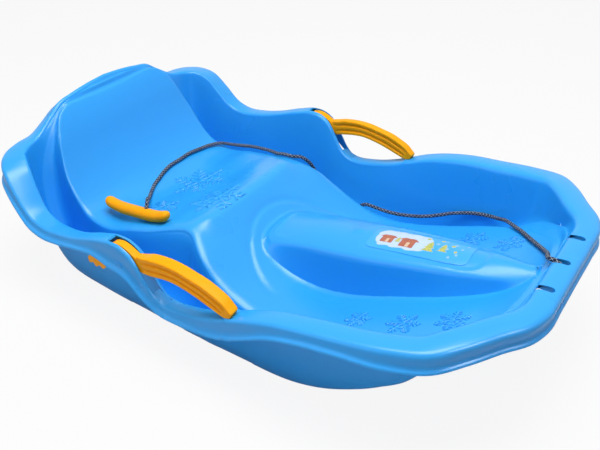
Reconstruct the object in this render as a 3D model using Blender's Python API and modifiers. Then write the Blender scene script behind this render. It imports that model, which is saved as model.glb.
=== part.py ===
"""Plastic snow sled with a moulded seat, two brake levers and a tow cord.

Units are metres. +X is the way the sled travels, +Y is the rider's left and +Z is up.
The origin is on the ground under the middle of the sled.
"""
import math

import bmesh
import bpy
import numpy as np
from mathutils import Matrix, Vector

# Overall sizes
LENGTH = 0.774
WIDTH = 0.492
BACKREST_HEIGHT = 0.234

# The hull lines below are drawn at these sizes, and grading stretches them to the sizes above
DRAWN_LENGTH = 0.774
DRAWN_WIDTH = 0.492
DRAWN_BACKREST = 0.234
RIGID_FRONT = 0.122
RIGID_REAR = -0.190
RIGID_SIDE = 0.120
SEAT_LEVEL = 0.079

# The moulded sheet and its rim
WALL = 0.003
RIM_ROUND = 0.0045
RIM_CROWN = 0.0006
GUTTER_HALF_WIDTH = 0.009
CLEARANCE = 0.0003

# How far the skirt's foot stands out from the rim, along the drawn X
LIP_REACH = [(-0.380, 0.0055), (-0.374, 0.0035), (-0.360, 0.0035), (-0.280, 0.0055),
             (0.250, 0.0055), (0.360, 0.0022)]

# Brake levers, drawn in X and Z from the pivot
PIVOT_X = -0.108
PIVOT_Z = 0.118
LEVER_INSET = 0.0170
PLATE_THICKNESS = 0.011
SLOT_WIDTH = 0.014
PIN_DIAMETER = 0.006
BOSS_DIAMETER = 0.013
BOSS_SIDE_GAP = 0.001
BORE_PLAY = 0.0003

# Tow cord
CORD_DIAMETER = 0.0055
ROPE_SLOT_WIDTH = 0.009
ROPE_SLOT_SPACING = 0.058
ROPE_NOTCH_Z = 0.1605
HANDLE_LENGTH = 0.124


def start_clean():
    """Remove the objects that the scene opens with."""
    for item in list(bpy.data.objects):
        bpy.data.objects.remove(item, do_unlink=True)


def collection(name):
    made = bpy.data.collections.new(name)
    bpy.context.scene.collection.children.link(made)
    return made


def plastic(name, colour, roughness, metallic=0.0):
    material = bpy.data.materials.new(name)
    material.use_nodes = True
    shader = material.node_tree.nodes["Principled BSDF"]
    shader.inputs["Base Color"].default_value = (*colour, 1.0)
    shader.inputs["Roughness"].default_value = roughness
    shader.inputs["Metallic"].default_value = metallic
    return material


start_clean()
SLED = collection("plastic_sled")
CUTTERS = collection("sled_cutters")
BLUE = plastic("hull_plastic", (0.03, 0.31, 0.86), 0.32)
YELLOW = plastic("lever_plastic", (1.0, 0.50, 0.02), 0.38)
STEEL = plastic("pin_steel", (0.62, 0.63, 0.65), 0.35, 1.0)
CORD_GREY = plastic("cord_braid", (0.10, 0.11, 0.15), 0.85)
LABEL = plastic("label_film", (0.72, 0.88, 0.98), 0.45)


def place(name, data, material, home=SLED):
    """Make an object of a mesh or curve and link it."""
    made = bpy.data.objects.new(name, data)
    if material is not None:
        data.materials.append(material)
    home.objects.link(made)
    return made


def as_cutter(item):
    item.hide_render = True
    item.display_type = "WIRE"
    return item


def modifier(item, kind, **settings):
    made = item.modifiers.new(kind.title(), kind)
    for key, value in settings.items():
        setattr(made, key, value)
    return made


def boolean(item, other, operation):
    """Cut or join with EXACT, and leave the other object as a cutter."""
    modifier(item, "BOOLEAN", object=other, operation=operation, solver="EXACT")
    as_cutter(other)


def smooth(item, angle=math.radians(35.0)):
    item.data.shade_smooth()
    item.data.set_sharp_from_angle(angle=angle)


# Hull lines on the left half, from the middle of the bow round to the middle of the backrest.
# The rim is the outermost line of the land, the gutter the bottom of the side channel that is also the
# runner, the body the shoulder of the raised seat and foot floor, and the spine where a section ends.
# A row: rim x, y, z, land width, skirt height, land tilt, gutter x, y, z, body x, y, spine x
HULL_ROWS = [
    (0.3848, 0.000, 0.1720, 0.0315, 0.0215, 0.0, 0.3500, 0.000, 0.1610, 0.3435, 0.000, 0.325),
    (0.3848, 0.058, 0.1718, 0.0315, 0.0220, 0.0, 0.3490, 0.055, 0.1592, 0.3425, 0.051, 0.318),
    (0.3838, 0.096, 0.1715, 0.0320, 0.0240, 0.0, 0.3430, 0.089, 0.1535, 0.3340, 0.083, 0.308),
    (0.3760, 0.1215, 0.1710, 0.0330, 0.0245, 0.0, 0.3290, 0.119, 0.1425, 0.3190, 0.108, 0.295),
    (0.3545, 0.1525, 0.1700, 0.0340, 0.0240, 0.0, 0.3120, 0.141, 0.1280, 0.3010, 0.126, 0.278),
    (0.3305, 0.1870, 0.1685, 0.0345, 0.0240, 0.0, 0.2900, 0.160, 0.1090, 0.2780, 0.138, 0.258),
    (0.3055, 0.2135, 0.1650, 0.0345, 0.0240, 0.0, 0.2640, 0.172, 0.0860, 0.2540, 0.1460, 0.236),
    (0.2600, 0.2285, 0.1580, 0.0335, 0.0225, 0.0, 0.2320, 0.176, 0.0600, 0.2220, 0.1500, 0.212),
    (0.2080, 0.2350, 0.1500, 0.0325, 0.0180, 0.0, 0.1960, 0.178, 0.0350, 0.1880, 0.152, 0.182),
    (0.1600, 0.2390, 0.1430, 0.0315, 0.0170, 0.0, 0.1560, 0.179, 0.0160, 0.1520, 0.154, 0.150),
    (0.1220, 0.2400, 0.1340, 0.0305, 0.0195, 0.0, 0.1200, 0.179, 0.0060, 0.1180, 0.156, 0.118),
    (0.0880, 0.2405, 0.1220, 0.0290, 0.0250, 0.0, 0.0880, 0.179, 0.0030, 0.0880, 0.156, 0.088),
    (0.0600, 0.2395, 0.1090, 0.0270, 0.0270, 0.0, 0.0600, 0.179, 0.0030, 0.0600, 0.156, 0.060),
    (0.0350, 0.2390, 0.0980, 0.0250, 0.0235, 0.0, 0.0350, 0.179, 0.0030, 0.0350, 0.155, 0.035),
    (0.0080, 0.2385, 0.0890, 0.022, 0.019, 0.0, 0.0080, 0.179, 0.0030, 0.0080, 0.155, 0.008),
    (-0.0100, 0.2385, 0.0850, 0.022, 0.016, 0.0, -0.0100, 0.179, 0.0030, -0.0100, 0.1545, -0.010),
    (-0.0250, 0.2385, 0.0825, 0.022, 0.014, 0.0, -0.0250, 0.178, 0.0030, -0.0250, 0.153, -0.025),
    (-0.0380, 0.2388, 0.0828, 0.022, 0.0135, 0.0, -0.0380, 0.178, 0.0030, -0.0380, 0.1505, -0.038),
    (-0.0480, 0.2390, 0.0860, 0.022, 0.014, 0.0, -0.0480, 0.178, 0.0030, -0.0480, 0.148, -0.048),
    (-0.0590, 0.2395, 0.0970, 0.023, 0.019, 0.0, -0.0590, 0.178, 0.0030, -0.0590, 0.144, -0.059),
    (-0.0710, 0.2400, 0.1160, 0.024, 0.030, 0.0, -0.0710, 0.178, 0.0030, -0.0710, 0.137, -0.071),
    (-0.0850, 0.2400, 0.1370, 0.024, 0.038, 0.0, -0.0850, 0.177, 0.0030, -0.0850, 0.128, -0.085),
    (-0.1000, 0.2400, 0.1465, 0.024, 0.038, 0.0, -0.1000, 0.177, 0.0030, -0.1000, 0.125, -0.100),
    (-0.1200, 0.2400, 0.1485, 0.024, 0.036, 0.0, -0.1200, 0.176, 0.0030, -0.1200, 0.129, -0.120),
    (-0.1500, 0.2385, 0.1410, 0.023, 0.023, 0.0, -0.1500, 0.175, 0.0030, -0.1500, 0.137, -0.150),
    (-0.1900, 0.2370, 0.1270, 0.021, 0.015, 0.0, -0.1900, 0.173, 0.0030, -0.1900, 0.144, -0.190),
    (-0.2270, 0.2355, 0.1185, 0.024, 0.014, 0.0, -0.2250, 0.171, 0.0030, -0.2240, 0.148, -0.220),
    (-0.2600, 0.2350, 0.1165, 0.028, 0.014, 0.0, -0.2530, 0.169, 0.0030, -0.2500, 0.1485, -0.240),
    (-0.2860, 0.2340, 0.1260, 0.031, 0.015, 0.0, -0.2740, 0.167, 0.0050, -0.2720, 0.1475, -0.252),
    (-0.3080, 0.2315, 0.1480, 0.034, 0.018, 0.0, -0.2920, 0.165, 0.0110, -0.2890, 0.1450, -0.261),
    (-0.3280, 0.2265, 0.1680, 0.036, 0.022, 0.0, -0.3080, 0.163, 0.0260, -0.3030, 0.1430, -0.268),
    (-0.3500, 0.2150, 0.1780, 0.036, 0.026, 0.0, -0.3230, 0.161, 0.0560, -0.3140, 0.1400, -0.274),
    (-0.3665, 0.1955, 0.1820, 0.032, 0.028, 0.0, -0.3370, 0.156, 0.1000, -0.3240, 0.1330, -0.280),
    (-0.3735, 0.1690, 0.1850, 0.0255, 0.029, 0.0, -0.3455, 0.146, 0.1450, -0.3340, 0.1240, -0.285),
    (-0.3745, 0.1430, 0.1875, 0.0215, 0.029, 0.002, -0.3495, 0.128, 0.1780, -0.3430, 0.1130, -0.290),
    (-0.3760, 0.1180, 0.1990, 0.019, 0.030, 0.006, -0.3535, 0.105, 0.2030, -0.3490, 0.0990, -0.294),
    (-0.3785, 0.0960, 0.2095, 0.0205, 0.030, 0.0105, -0.3550, 0.088, 0.2175, -0.3515, 0.0840, -0.298),
    (-0.3800, 0.0680, 0.2148, 0.0215, 0.030, 0.0115, -0.3555, 0.063, 0.2235, -0.3515, 0.0610, -0.301),
    (-0.3810, 0.0350, 0.2196, 0.0225, 0.030, 0.0115, -0.3550, 0.033, 0.2255, -0.3510, 0.0320, -0.303),
    (-0.3815, 0.0000, 0.2223, 0.0230, 0.030, 0.0115, -0.3550, 0.000, 0.2260, -0.3510, 0.0000, -0.304),
]
EXTRA_SECTIONS = {0: 1, 1: 1, 2: 1, 3: 1, 4: 1, 5: 1, 6: 1, 7: 1, 8: 1}

# Top of the body along X, from the back to the bow: backrest, seat, thigh hump, heel valley, foot ramp
BODY_PROFILE = [
    (-0.368, 0.2390), (-0.356, 0.2270), (-0.344, 0.2090), (-0.332, 0.1830), (-0.322, 0.1560),
    (-0.310, 0.1300), (-0.296, 0.1080), (-0.277, 0.0890), (-0.250, 0.0800), (-0.226, 0.0800),
    (-0.190, 0.0900), (-0.155, 0.0985), (-0.120, 0.1085), (-0.092, 0.1120), (-0.060, 0.0960),
    (-0.027, 0.0730), (0.000, 0.0580), (0.030, 0.0470), (0.070, 0.0420), (0.110, 0.0470),
    (0.163, 0.0640), (0.226, 0.0880), (0.281, 0.1100), (0.311, 0.1240), (0.330, 0.1375), (0.346, 0.1530),
]
HUMP_X = -0.092
HUMP_CENTRE_RISE = 0.005
HUMP_SPREAD = 0.045
DISH_X = -0.190
DISH_RADIUS = 0.105
DISH_DEPTH = 0.006

# The raised panel between the feet: its half width, the width of its sloping side and its height along X
PANEL_REAR = -0.038
PANEL_NOSE = 0.344
PANEL_REAR_ROUND = 0.030
PANEL_NOSE_ROUND = 0.012
PANEL_FOOT = [(-0.060, 0.058), (0.080, 0.0575), (0.150, 0.056), (0.194, 0.052), (0.236, 0.048),
              (0.269, 0.042), (0.291, 0.036), (0.311, 0.029), (0.330, 0.023), (0.350, 0.020)]
PANEL_SLOPE = [(-0.060, 0.012), (0.100, 0.011), (0.200, 0.010), (0.250, 0.010), (0.300, 0.006),
               (0.330, 0.003)]
PANEL_HEIGHT = [(-0.060, 0.0860), (-0.020, 0.0905), (0.040, 0.1045), (0.104, 0.1160), (0.180, 0.1300),
                (0.250, 0.1415), (0.300, 0.1480), (0.330, 0.1510), (0.346, 0.1540)]
PANEL_CROWN = 0.012


def between(value, table):
    """Read a table of (x, size) at value, by cubic pieces through its points."""
    xs = np.array([row[0] for row in table])
    ys = np.array([row[1] for row in table])
    return cubic(np.clip(value, xs[0], xs[-1]), xs, ys)


def cubic(value, xs, ys):
    """Cubic pieces through points, with the slope at a point taken from its two neighbours."""
    ys = np.asarray(ys, float)
    slope = np.gradient(ys, xs, axis=0)
    index = np.clip(np.searchsorted(xs, value, side="right") - 1, 0, len(xs) - 2)
    step = (xs[index + 1] - xs[index])
    t = (value - xs[index]) / step
    if ys.ndim > 1:
        t = t[:, None]
        step = step[:, None]
    start = (1 + 2 * t) * (1 - t) ** 2 * ys[index] + t * (1 - t) ** 2 * step * slope[index]
    end = t * t * (3 - 2 * t) * ys[index + 1] + t * t * (t - 1) * step * slope[index + 1]
    return start + end


def ease(value):
    value = np.clip(value, 0.0, 1.0)
    return value * value * (3.0 - 2.0 * value)


def rounded_corner(first, second, radius):
    """Distance inside a corner with two sides, kept round at the corner."""
    cut = np.hypot(np.maximum(radius - first, 0.0), np.maximum(radius - second, 0.0))
    return np.where((first < radius) & (second < radius), radius - cut, np.minimum(first, second))


def panel_distance(x, y):
    """How far a plan point lies inside the foot of the raised panel."""
    side = between(x, PANEL_FOOT) - np.abs(y)
    inside = rounded_corner(side, x - PANEL_REAR, PANEL_REAR_ROUND)
    return np.minimum(inside, rounded_corner(side, PANEL_NOSE - x, PANEL_NOSE_ROUND))


def body_height(x, y):
    """Height of the body's top in the drawn frame: profile, hump, dish and the raised panel."""
    y = np.abs(y)
    base = between(x, BODY_PROFILE)
    across = np.clip(1.0 - (y / 0.15) ** 2, 0.0, 1.0)
    base = base + HUMP_CENTRE_RISE * across * np.exp(-((x - HUMP_X) / HUMP_SPREAD) ** 2)
    reach = np.hypot(x - DISH_X, y) / DISH_RADIUS
    base = base - DISH_DEPTH * (1.0 - ease((reach - 0.2) / 0.8)) * (x > -0.30)
    slope = between(x, PANEL_SLOPE)
    top = np.maximum(between(x, PANEL_FOOT) - slope, 0.004)
    raised = between(x, PANEL_HEIGHT) - PANEL_CROWN * np.clip(y / top, 0.0, 1.0) ** 2
    wall = np.clip(panel_distance(x, y) / slope, 0.0, 1.0)
    return base + np.maximum(raised - base, 0.0) * wall


def grade(x, y, z):
    """Stretch the drawn form to the set sizes, and keep the lever zone and the rim rigid."""
    half = DRAWN_LENGTH / 2
    more = (LENGTH - DRAWN_LENGTH) / 2
    front = more * np.clip((x - RIGID_FRONT) / (half - RIGID_FRONT), 0.0, 1.0)
    rear = more * np.clip((RIGID_REAR - x) / (half + RIGID_REAR), 0.0, 1.0)
    wider = (WIDTH - DRAWN_WIDTH) / 2 * np.clip(np.abs(y) / RIGID_SIDE, 0.0, 1.0) * np.sign(y)
    share = np.clip((z - SEAT_LEVEL) / (DRAWN_BACKREST - SEAT_LEVEL), 0.0, 1.0)
    taller = (BACKREST_HEIGHT - DRAWN_BACKREST) * share * ease((-0.24 - x) / 0.10)
    return x + front - rear, y + wider, z + taller


def hull_sections(rows=HULL_ROWS, extra=EXTRA_SECTIONS):
    """The rows with extra sections between some of them, read along the rim's length."""
    table = np.array(rows)
    chord = np.concatenate([[0.0], np.cumsum(np.hypot(np.diff(table[:, 0]), np.diff(table[:, 1])))])
    wanted = []
    for index in range(len(rows) - 1):
        pieces = extra.get(index, 0) + 1
        wanted.extend(np.linspace(chord[index], chord[index + 1], pieces, endpoint=False))
    wanted.append(chord[-1])
    wanted = np.array(wanted)
    return wanted, cubic(wanted, chord, table)


def outward(line):
    """Unit normals of a plan line that point away from the sled, flat on the centre plane."""
    along = np.gradient(line, axis=0)
    normal = np.stack([along[:, 1], -along[:, 0]], axis=1)
    normal /= np.linalg.norm(normal, axis=1)[:, None]
    normal[0] = (1.0, 0.0)
    normal[-1] = (-1.0, 0.0)
    return normal


# Across the wall and the body's side: share of the way in plan, share of the drop
WALL_STEPS = [(0.20, 0.30), (0.42, 0.62), (0.68, 0.88)]
SIDE_STEPS = [(0.30, 0.12), (0.55, 0.42), (0.80, 0.80), (0.94, 0.96)]
BODY_STEPS = [0.08, 0.36, 0.68]
INNER_STEPS = [0.5, 1.0]


def share_at_contour(start, end, inset, elsewhere):
    """Share of the way from start to end where the panel is first entered by the inset."""
    steps = np.linspace(0.0, 0.985, 400)
    x = start[:, 0:1] + (end[:, 0:1] - start[:, 0:1]) * steps
    y = start[:, 1:2] + (end[:, 1:2] - start[:, 1:2]) * steps
    inside = panel_distance(x, y) >= np.reshape(inset, (-1, 1))
    first = np.argmax(inside, axis=1)
    return np.where(inside.any(axis=1), steps[first], elsewhere)


def hull_grid(table):
    """Rows of points from the lip, over the rim and through the gutter, to the centre line."""
    rim = table[:, 0:2]
    level = table[:, 2]
    land = table[:, 3]
    skirt = table[:, 4]
    tilt = table[:, 5]
    gutter = table[:, 6:9]
    body = table[:, 9:11]
    spine = np.stack([table[:, 11], np.zeros(len(table))], axis=1)
    normal = outward(rim)

    def ring(out, drop):
        plan = rim + normal * np.reshape(out, (-1, 1))
        return np.column_stack([plan, level + drop])

    zero = np.zeros(len(table))
    reach = np.interp(rim[:, 0], *zip(*LIP_REACH))
    rows = [
        ring(reach, -skirt),
        ring(reach - 0.0006, -skirt + 0.0022),
        ring(reach - 0.0029, -skirt + 0.0042),
        ring(zero, zero - RIM_ROUND),
        ring(zero - 0.3 * RIM_ROUND, zero - 0.3 * RIM_ROUND),
        ring(zero - RIM_ROUND, zero),
        ring(-land / 2, tilt / 2 + RIM_CROWN),
        ring(-land + RIM_ROUND, tilt),
        ring(-land + 0.3 * RIM_ROUND, tilt - 0.3 * RIM_ROUND),
        ring(-land, tilt - RIM_ROUND),
    ]
    wall_top = rows[-1]
    shoulder = np.column_stack([body, body_height(body[:, 0], body[:, 1])])
    across = shoulder[:, :2] - wall_top[:, :2]
    across /= np.linalg.norm(across, axis=1)[:, None]
    flat = np.minimum(GUTTER_HALF_WIDTH, 0.3 * np.linalg.norm(gutter[:, :2] - wall_top[:, :2], axis=1))
    outer = gutter.copy()
    outer[:, :2] -= across * flat[:, None]
    inner = gutter.copy()
    inner[:, :2] += across * flat[:, None]
    for share, drop in WALL_STEPS:
        point = wall_top + (outer - wall_top) * share
        point[:, 2] = wall_top[:, 2] + (outer[:, 2] - wall_top[:, 2]) * drop
        rows.append(point)
    rows.extend([outer, gutter, inner])
    channel = np.clip((shoulder[:, 2] - inner[:, 2] + 0.004) / 0.012, 0.0, 1.0)
    for share, rise in SIDE_STEPS:
        point = inner + (shoulder - inner) * share
        height = share + (rise - share) * channel
        point[:, 2] = inner[:, 2] + (shoulder[:, 2] - inner[:, 2]) * height
        rows.append(point)
    rows.append(shoulder)

    slope = between(spine[:, 0], PANEL_SLOPE)
    foot = share_at_contour(body, spine, 0.0, 0.62)
    top = share_at_contour(body, spine, slope, 0.70)
    top = np.maximum(top, foot + 0.02)
    shares = [foot * step for step in BODY_STEPS]
    shares.extend([foot, top])
    shares.extend([top + (1.0 - top) * step for step in INNER_STEPS])
    for share in shares:
        plan = body + (spine - body) * share[:, None]
        rows.append(np.column_stack([plan, body_height(plan[:, 0], plan[:, 1])]))
    grid = np.stack(rows)
    grid[:, 0, 1] = 0.0
    grid[:, -1, 1] = 0.0
    grid[-1, :, 1] = 0.0
    graded = grade(grid[..., 0], grid[..., 1], grid[..., 2])
    return np.stack(graded, axis=-1)


def grid_mesh(name, grid):
    """A mesh of quads over a grid of points."""
    rows, columns = grid.shape[:2]
    index = np.arange(rows * columns).reshape(rows, columns)
    quads = np.stack([index[:-1, :-1], index[:-1, 1:], index[1:, 1:], index[1:, :-1]], axis=-1)
    mesh = bpy.data.meshes.new(name)
    mesh.from_pydata(grid.reshape(-1, 3).tolist(), [], quads.reshape(-1, 4).tolist())
    mesh.validate()
    return mesh


def graded_point(x, y, z):
    gx, gy, gz = grade(np.array(float(x)), np.array(float(y)), np.array(float(z)))
    return Vector((float(gx), float(gy), float(gz)))


CHORD, SECTIONS = hull_sections()
# Rows of the hull grid at the land's inner edge and at the foot of the wall
LAND_ROW = 9
WALL_ROW = 13


def wall_point(x, z, first, last):
    """Y of the drawn hull's sheet at x and z, read over some of its rows."""
    grid = hull_grid(SECTIONS)
    near = int(np.argmin(np.abs(SECTIONS[:, 0] - x) + 9.0 * (SECTIONS[:, 1] < 0.2)))
    column = grid[first:last, near]
    order = np.argsort(column[:, 2])
    return float(np.interp(z, column[order, 2], column[order, 1]))


LEVER_Y = WIDTH / 2 - LEVER_INSET


def cylinder(name, radius, start, end, segments=24, home=CUTTERS):
    """A cylinder along Y about the lever pivot, each end given as y at a height."""
    mesh = bpy.data.meshes.new(name)
    build = bmesh.new()
    rings = []
    for edge in (start, end):
        ring = []
        for index in range(segments):
            angle = 2.0 * math.pi * index / segments
            x = PIVOT_X + radius * math.cos(angle)
            z = PIVOT_Z + radius * math.sin(angle)
            ring.append(build.verts.new((x, edge(z), z)))
        rings.append(ring)
    for index in range(segments):
        after = (index + 1) % segments
        build.faces.new((rings[0][index], rings[0][after], rings[1][after], rings[1][index]))
    build.faces.new(rings[0])
    build.faces.new(rings[1])
    bmesh.ops.recalc_face_normals(build, faces=build.faces)
    build.to_mesh(mesh)
    build.free()
    return place(name, mesh, None, home)


def prism(name, outline, low, high, home=CUTTERS):
    """An outline in X and Z carried along Y from low to high."""
    mesh = bpy.data.meshes.new(name)
    build = bmesh.new()
    near = [build.verts.new((x, low, z)) for x, z in outline]
    far = [build.verts.new((x, high, z)) for x, z in outline]
    build.faces.new(near)
    build.faces.new(far)
    for index in range(len(outline)):
        after = (index + 1) % len(outline)
        build.faces.new((near[index], near[after], far[after], far[index]))
    bmesh.ops.recalc_face_normals(build, faces=build.faces)
    build.to_mesh(mesh)
    build.free()
    return place(name, mesh, None, home)


def box(name, low, high, home=CUTTERS):
    outline = [(low[0], low[2]), (high[0], low[2]), (high[0], high[2]), (low[0], high[2])]
    return prism(name, outline, low[1], high[1], home)


def mirrored(item):
    """Repeat a left side cutter on the right side."""
    modifier(item, "MIRROR", use_axis=(False, True, False), merge_threshold=0.0001)
    return item


# Lever slot in the rim: a ring sector about the pivot
SLOT_FROM = math.radians(-24.0)
SLOT_TO = math.radians(122.0)
SLOT_INNER = 0.016
SLOT_OUTER = 0.078


def slot_outline():
    angles = np.linspace(SLOT_FROM, SLOT_TO, 15)
    outer = [(PIVOT_X + SLOT_OUTER * math.cos(a), PIVOT_Z + SLOT_OUTER * math.sin(a)) for a in angles]
    inner = [(PIVOT_X + SLOT_INNER * math.cos(a), PIVOT_Z + SLOT_INNER * math.sin(a)) for a in angles[::-1]]
    return outer + inner


def rope_slot(name, y, end_x):
    """A round ended slot that runs in from the rim's inner edge."""
    half = ROPE_SLOT_WIDTH / 2
    y = y * WIDTH / DRAWN_WIDTH
    shift = (LENGTH - DRAWN_LENGTH) / 2
    outline = [(end_x - 0.032 + shift, y - half)]
    for index in range(9):
        angle = -math.pi / 2 + math.pi * index / 8
        outline.append((end_x - half + shift + half * math.cos(angle), y + half * math.sin(angle)))
    outline.append((end_x - 0.032 + shift, y + half))
    mesh = bpy.data.meshes.new(name)
    build = bmesh.new()
    low = [build.verts.new((px, py, ROPE_NOTCH_Z)) for px, py in outline]
    high = [build.verts.new((px, py, 0.190)) for px, py in outline]
    build.faces.new(low)
    build.faces.new(high)
    for index in range(len(outline)):
        after = (index + 1) % len(outline)
        build.faces.new((low[index], low[after], high[after], high[index]))
    bmesh.ops.recalc_face_normals(build, faces=build.faces)
    build.to_mesh(mesh)
    build.free()
    return place(name, mesh, None, CUTTERS)


PLATE_HALF = PLATE_THICKNESS / 2


def build_hull():
    mesh = grid_mesh("hull", hull_grid(SECTIONS))
    hull = place("hull", mesh, BLUE)
    modifier(hull, "MIRROR", use_axis=(False, True, False), merge_threshold=0.0001)
    modifier(hull, "SOLIDIFY", thickness=WALL, offset=-1.0, use_even_offset=True, thickness_clamp=1.0)

    # Two bosses a side carry the hinge pin, one on the tub wall and one on the skirt
    inner_face = LEVER_Y - PLATE_HALF - BOSS_SIDE_GAP
    outer_face = LEVER_Y + PLATE_HALF + BOSS_SIDE_GAP
    inner_boss = cylinder("boss_inner", BOSS_DIAMETER / 2,
                          lambda z: wall_point(PIVOT_X, z, LAND_ROW, WALL_ROW) + WALL / 2,
                          lambda z: inner_face)
    outer_boss = cylinder("boss_outer", BOSS_DIAMETER / 2,
                          lambda z: outer_face,
                          lambda z: wall_point(PIVOT_X, z, 0, 4) - WALL / 2)
    boolean(hull, mirrored(inner_boss), "UNION")
    boolean(hull, mirrored(outer_boss), "UNION")
    bore = cylinder("boss_bore", PIN_DIAMETER / 2 + BORE_PLAY,
                    lambda z: PIN_INNER_END - 0.0005,
                    lambda z: PIN_OUTER_END + 0.0004)
    boolean(hull, mirrored(bore), "DIFFERENCE")
    mouth = box("boss_mouth", (PIVOT_X - 0.0025, PIN_INNER_END - 0.0005, PIVOT_Z - 0.012),
                (PIVOT_X + 0.0025, outer_face + 0.0015, PIVOT_Z))
    boolean(hull, mirrored(mouth), "DIFFERENCE")
    slot = prism("lever_slot", slot_outline(), LEVER_Y - SLOT_WIDTH / 2, LEVER_Y + SLOT_WIDTH / 2)
    boolean(hull, mirrored(slot), "DIFFERENCE")
    for name, y, end_x in (("rope_slot_middle", 0.0, 0.3745),
                           ("rope_slot_left", ROPE_SLOT_SPACING, 0.3750),
                           ("rope_slot_right", -ROPE_SLOT_SPACING, 0.3750)):
        boolean(hull, rope_slot(name, y, end_x), "DIFFERENCE")
    smooth(hull)
    return hull


PIN_INNER_END = LEVER_Y - PLATE_HALF - 0.0055
PIN_OUTER_END = LEVER_Y + PLATE_HALF + 0.0042
HULL = build_hull()

# Lever outline in X and Z from the pivot: the plate in the slot with its hub and toothed claw
PLATE_OUTLINE = [
    (0.0425, 0.0165), (0.0300, 0.0180), (0.0225, 0.0215), (0.0150, 0.0255), (0.0075, 0.0285),
    (0.0000, 0.0296), (-0.0075, 0.0286), (-0.0135, 0.0262), (-0.0155, 0.0225), (-0.0220, 0.0170),
    (-0.0330, 0.0070), (-0.0480, -0.0035), (-0.0620, -0.0115), (-0.0655, -0.0165), (-0.0630, -0.0250),
    (-0.0560, -0.0200), (-0.0515, -0.0270), (-0.0445, -0.0205), (-0.0390, -0.0260), (-0.0310, -0.0175),
    (-0.0170, -0.0125), (-0.0080, -0.0110), (0.0000, -0.0105), (0.0100, -0.0095), (0.0220, -0.0060),
    (0.0360, 0.0015), (0.0440, 0.0055),
]
# Grip sections: top x and z, bottom x and z, half width, groove depth
GRIP_SECTIONS = [
    (0.0275, 0.0215, 0.0355, -0.0010, 0.0052, 0.0),
    (0.0400, 0.0245, 0.0450, 0.0020, 0.0075, 0.0),
    (0.0510, 0.0280, 0.0540, 0.0040, 0.0080, 0.0030),
    (0.0720, 0.0310, 0.0710, 0.0075, 0.0080, 0.0030),
    (0.0940, 0.0310, 0.0880, 0.0090, 0.0080, 0.0030),
    (0.1140, 0.0280, 0.1060, 0.0070, 0.0080, 0.0030),
    (0.1350, 0.0240, 0.1230, 0.0035, 0.0080, 0.0030),
    (0.1500, 0.0185, 0.1390, -0.0010, 0.0080, 0.0030),
    (0.1630, 0.0125, 0.1530, -0.0055, 0.0078, 0.0024),
    (0.1705, 0.0060, 0.1610, -0.0080, 0.0075, 0.0),
    (0.1745, 0.0015, 0.1680, -0.0084, 0.0070, 0.0),
    (0.1760, -0.0010, 0.1725, -0.0062, 0.0058, 0.0),
]
FLANGE = 0.0045
EDGE_ROUND = 0.0024


def grip_loft(name):
    """The grip as an I-section carried from the slot to the tip."""
    rings = []
    for top_x, top_z, low_x, low_z, half, groove in GRIP_SECTIONS:
        top = np.array([top_x, top_z])
        low = np.array([low_x, low_z])
        height = np.linalg.norm(top - low)
        down = (low - top) / height
        edge = min(EDGE_ROUND, 0.2 * height)
        flange = min(FLANGE, 0.30 * height)
        web = flange + min(0.0012, 0.08 * height)
        outline = [
            (half - edge, 0.0), (half - 0.3 * edge, 0.3 * edge), (half, edge), (half, flange),
            (half - groove, web), (half - groove, height - web),
            (half, height - flange), (half, height - edge), (half - 0.3 * edge, height - 0.3 * edge),
            (half - edge, height),
        ]
        outline = outline + [(-y, depth) for y, depth in outline[::-1]]
        ring = []
        for y, depth in outline:
            point = top + down * depth
            ring.append((PIVOT_X + point[0], y, PIVOT_Z + point[1]))
        rings.append(ring)
    mesh = bpy.data.meshes.new(name)
    build = bmesh.new()
    made = [[build.verts.new(point) for point in ring] for ring in rings]
    count = len(made[0])
    for first, second in zip(made[:-1], made[1:]):
        for index in range(count):
            after = (index + 1) % count
            build.faces.new((first[index], first[after], second[after], second[index]))
    build.faces.new(made[0])
    build.faces.new(made[-1])
    bmesh.ops.recalc_face_normals(build, faces=build.faces)
    build.to_mesh(mesh)
    build.free()
    return mesh


def moved_origin(item, origin):
    """Put the object's origin at a point and leave its form where it is."""
    item.data.transform(Matrix.Translation(-Vector(origin)))
    item.location = origin


def build_lever(side, sign):
    lever = place("brake_lever_" + side, grip_loft("brake_lever_" + side), YELLOW)
    lever.data.transform(Matrix.Translation((0.0, sign * LEVER_Y, 0.0)))
    moved_origin(lever, (PIVOT_X, sign * LEVER_Y, PIVOT_Z))
    outline = [(PIVOT_X + x, PIVOT_Z + z) for x, z in PLATE_OUTLINE]
    plate = prism("lever_plate_" + side, outline, sign * LEVER_Y - PLATE_HALF, sign * LEVER_Y + PLATE_HALF)
    boolean(lever, plate, "UNION")
    bore = cylinder("lever_bore_" + side, PIN_DIAMETER / 2 + 0.0001,
                    lambda z: sign * LEVER_Y - 0.02,
                    lambda z: sign * LEVER_Y + 0.02)
    boolean(lever, bore, "DIFFERENCE")
    smooth(lever)
    return lever


def build_pin(side, sign):
    start = sign * PIN_INNER_END
    end = sign * PIN_OUTER_END
    pin = cylinder("hinge_pin_" + side, PIN_DIAMETER / 2, lambda z: start, lambda z: end, 24, SLED)
    pin.data.materials.append(STEEL)
    moved_origin(pin, (PIVOT_X, sign * LEVER_Y, PIVOT_Z))
    modifier(pin, "BEVEL", width=0.0004, segments=1, limit_method="ANGLE", angle_limit=math.radians(50.0))
    smooth(pin)
    return pin


LEVERS = [build_lever(side, sign) for side, sign in (("left", 1.0), ("right", -1.0))]
PINS = [build_pin(side, sign) for side, sign in (("left", 1.0), ("right", -1.0))]

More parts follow.
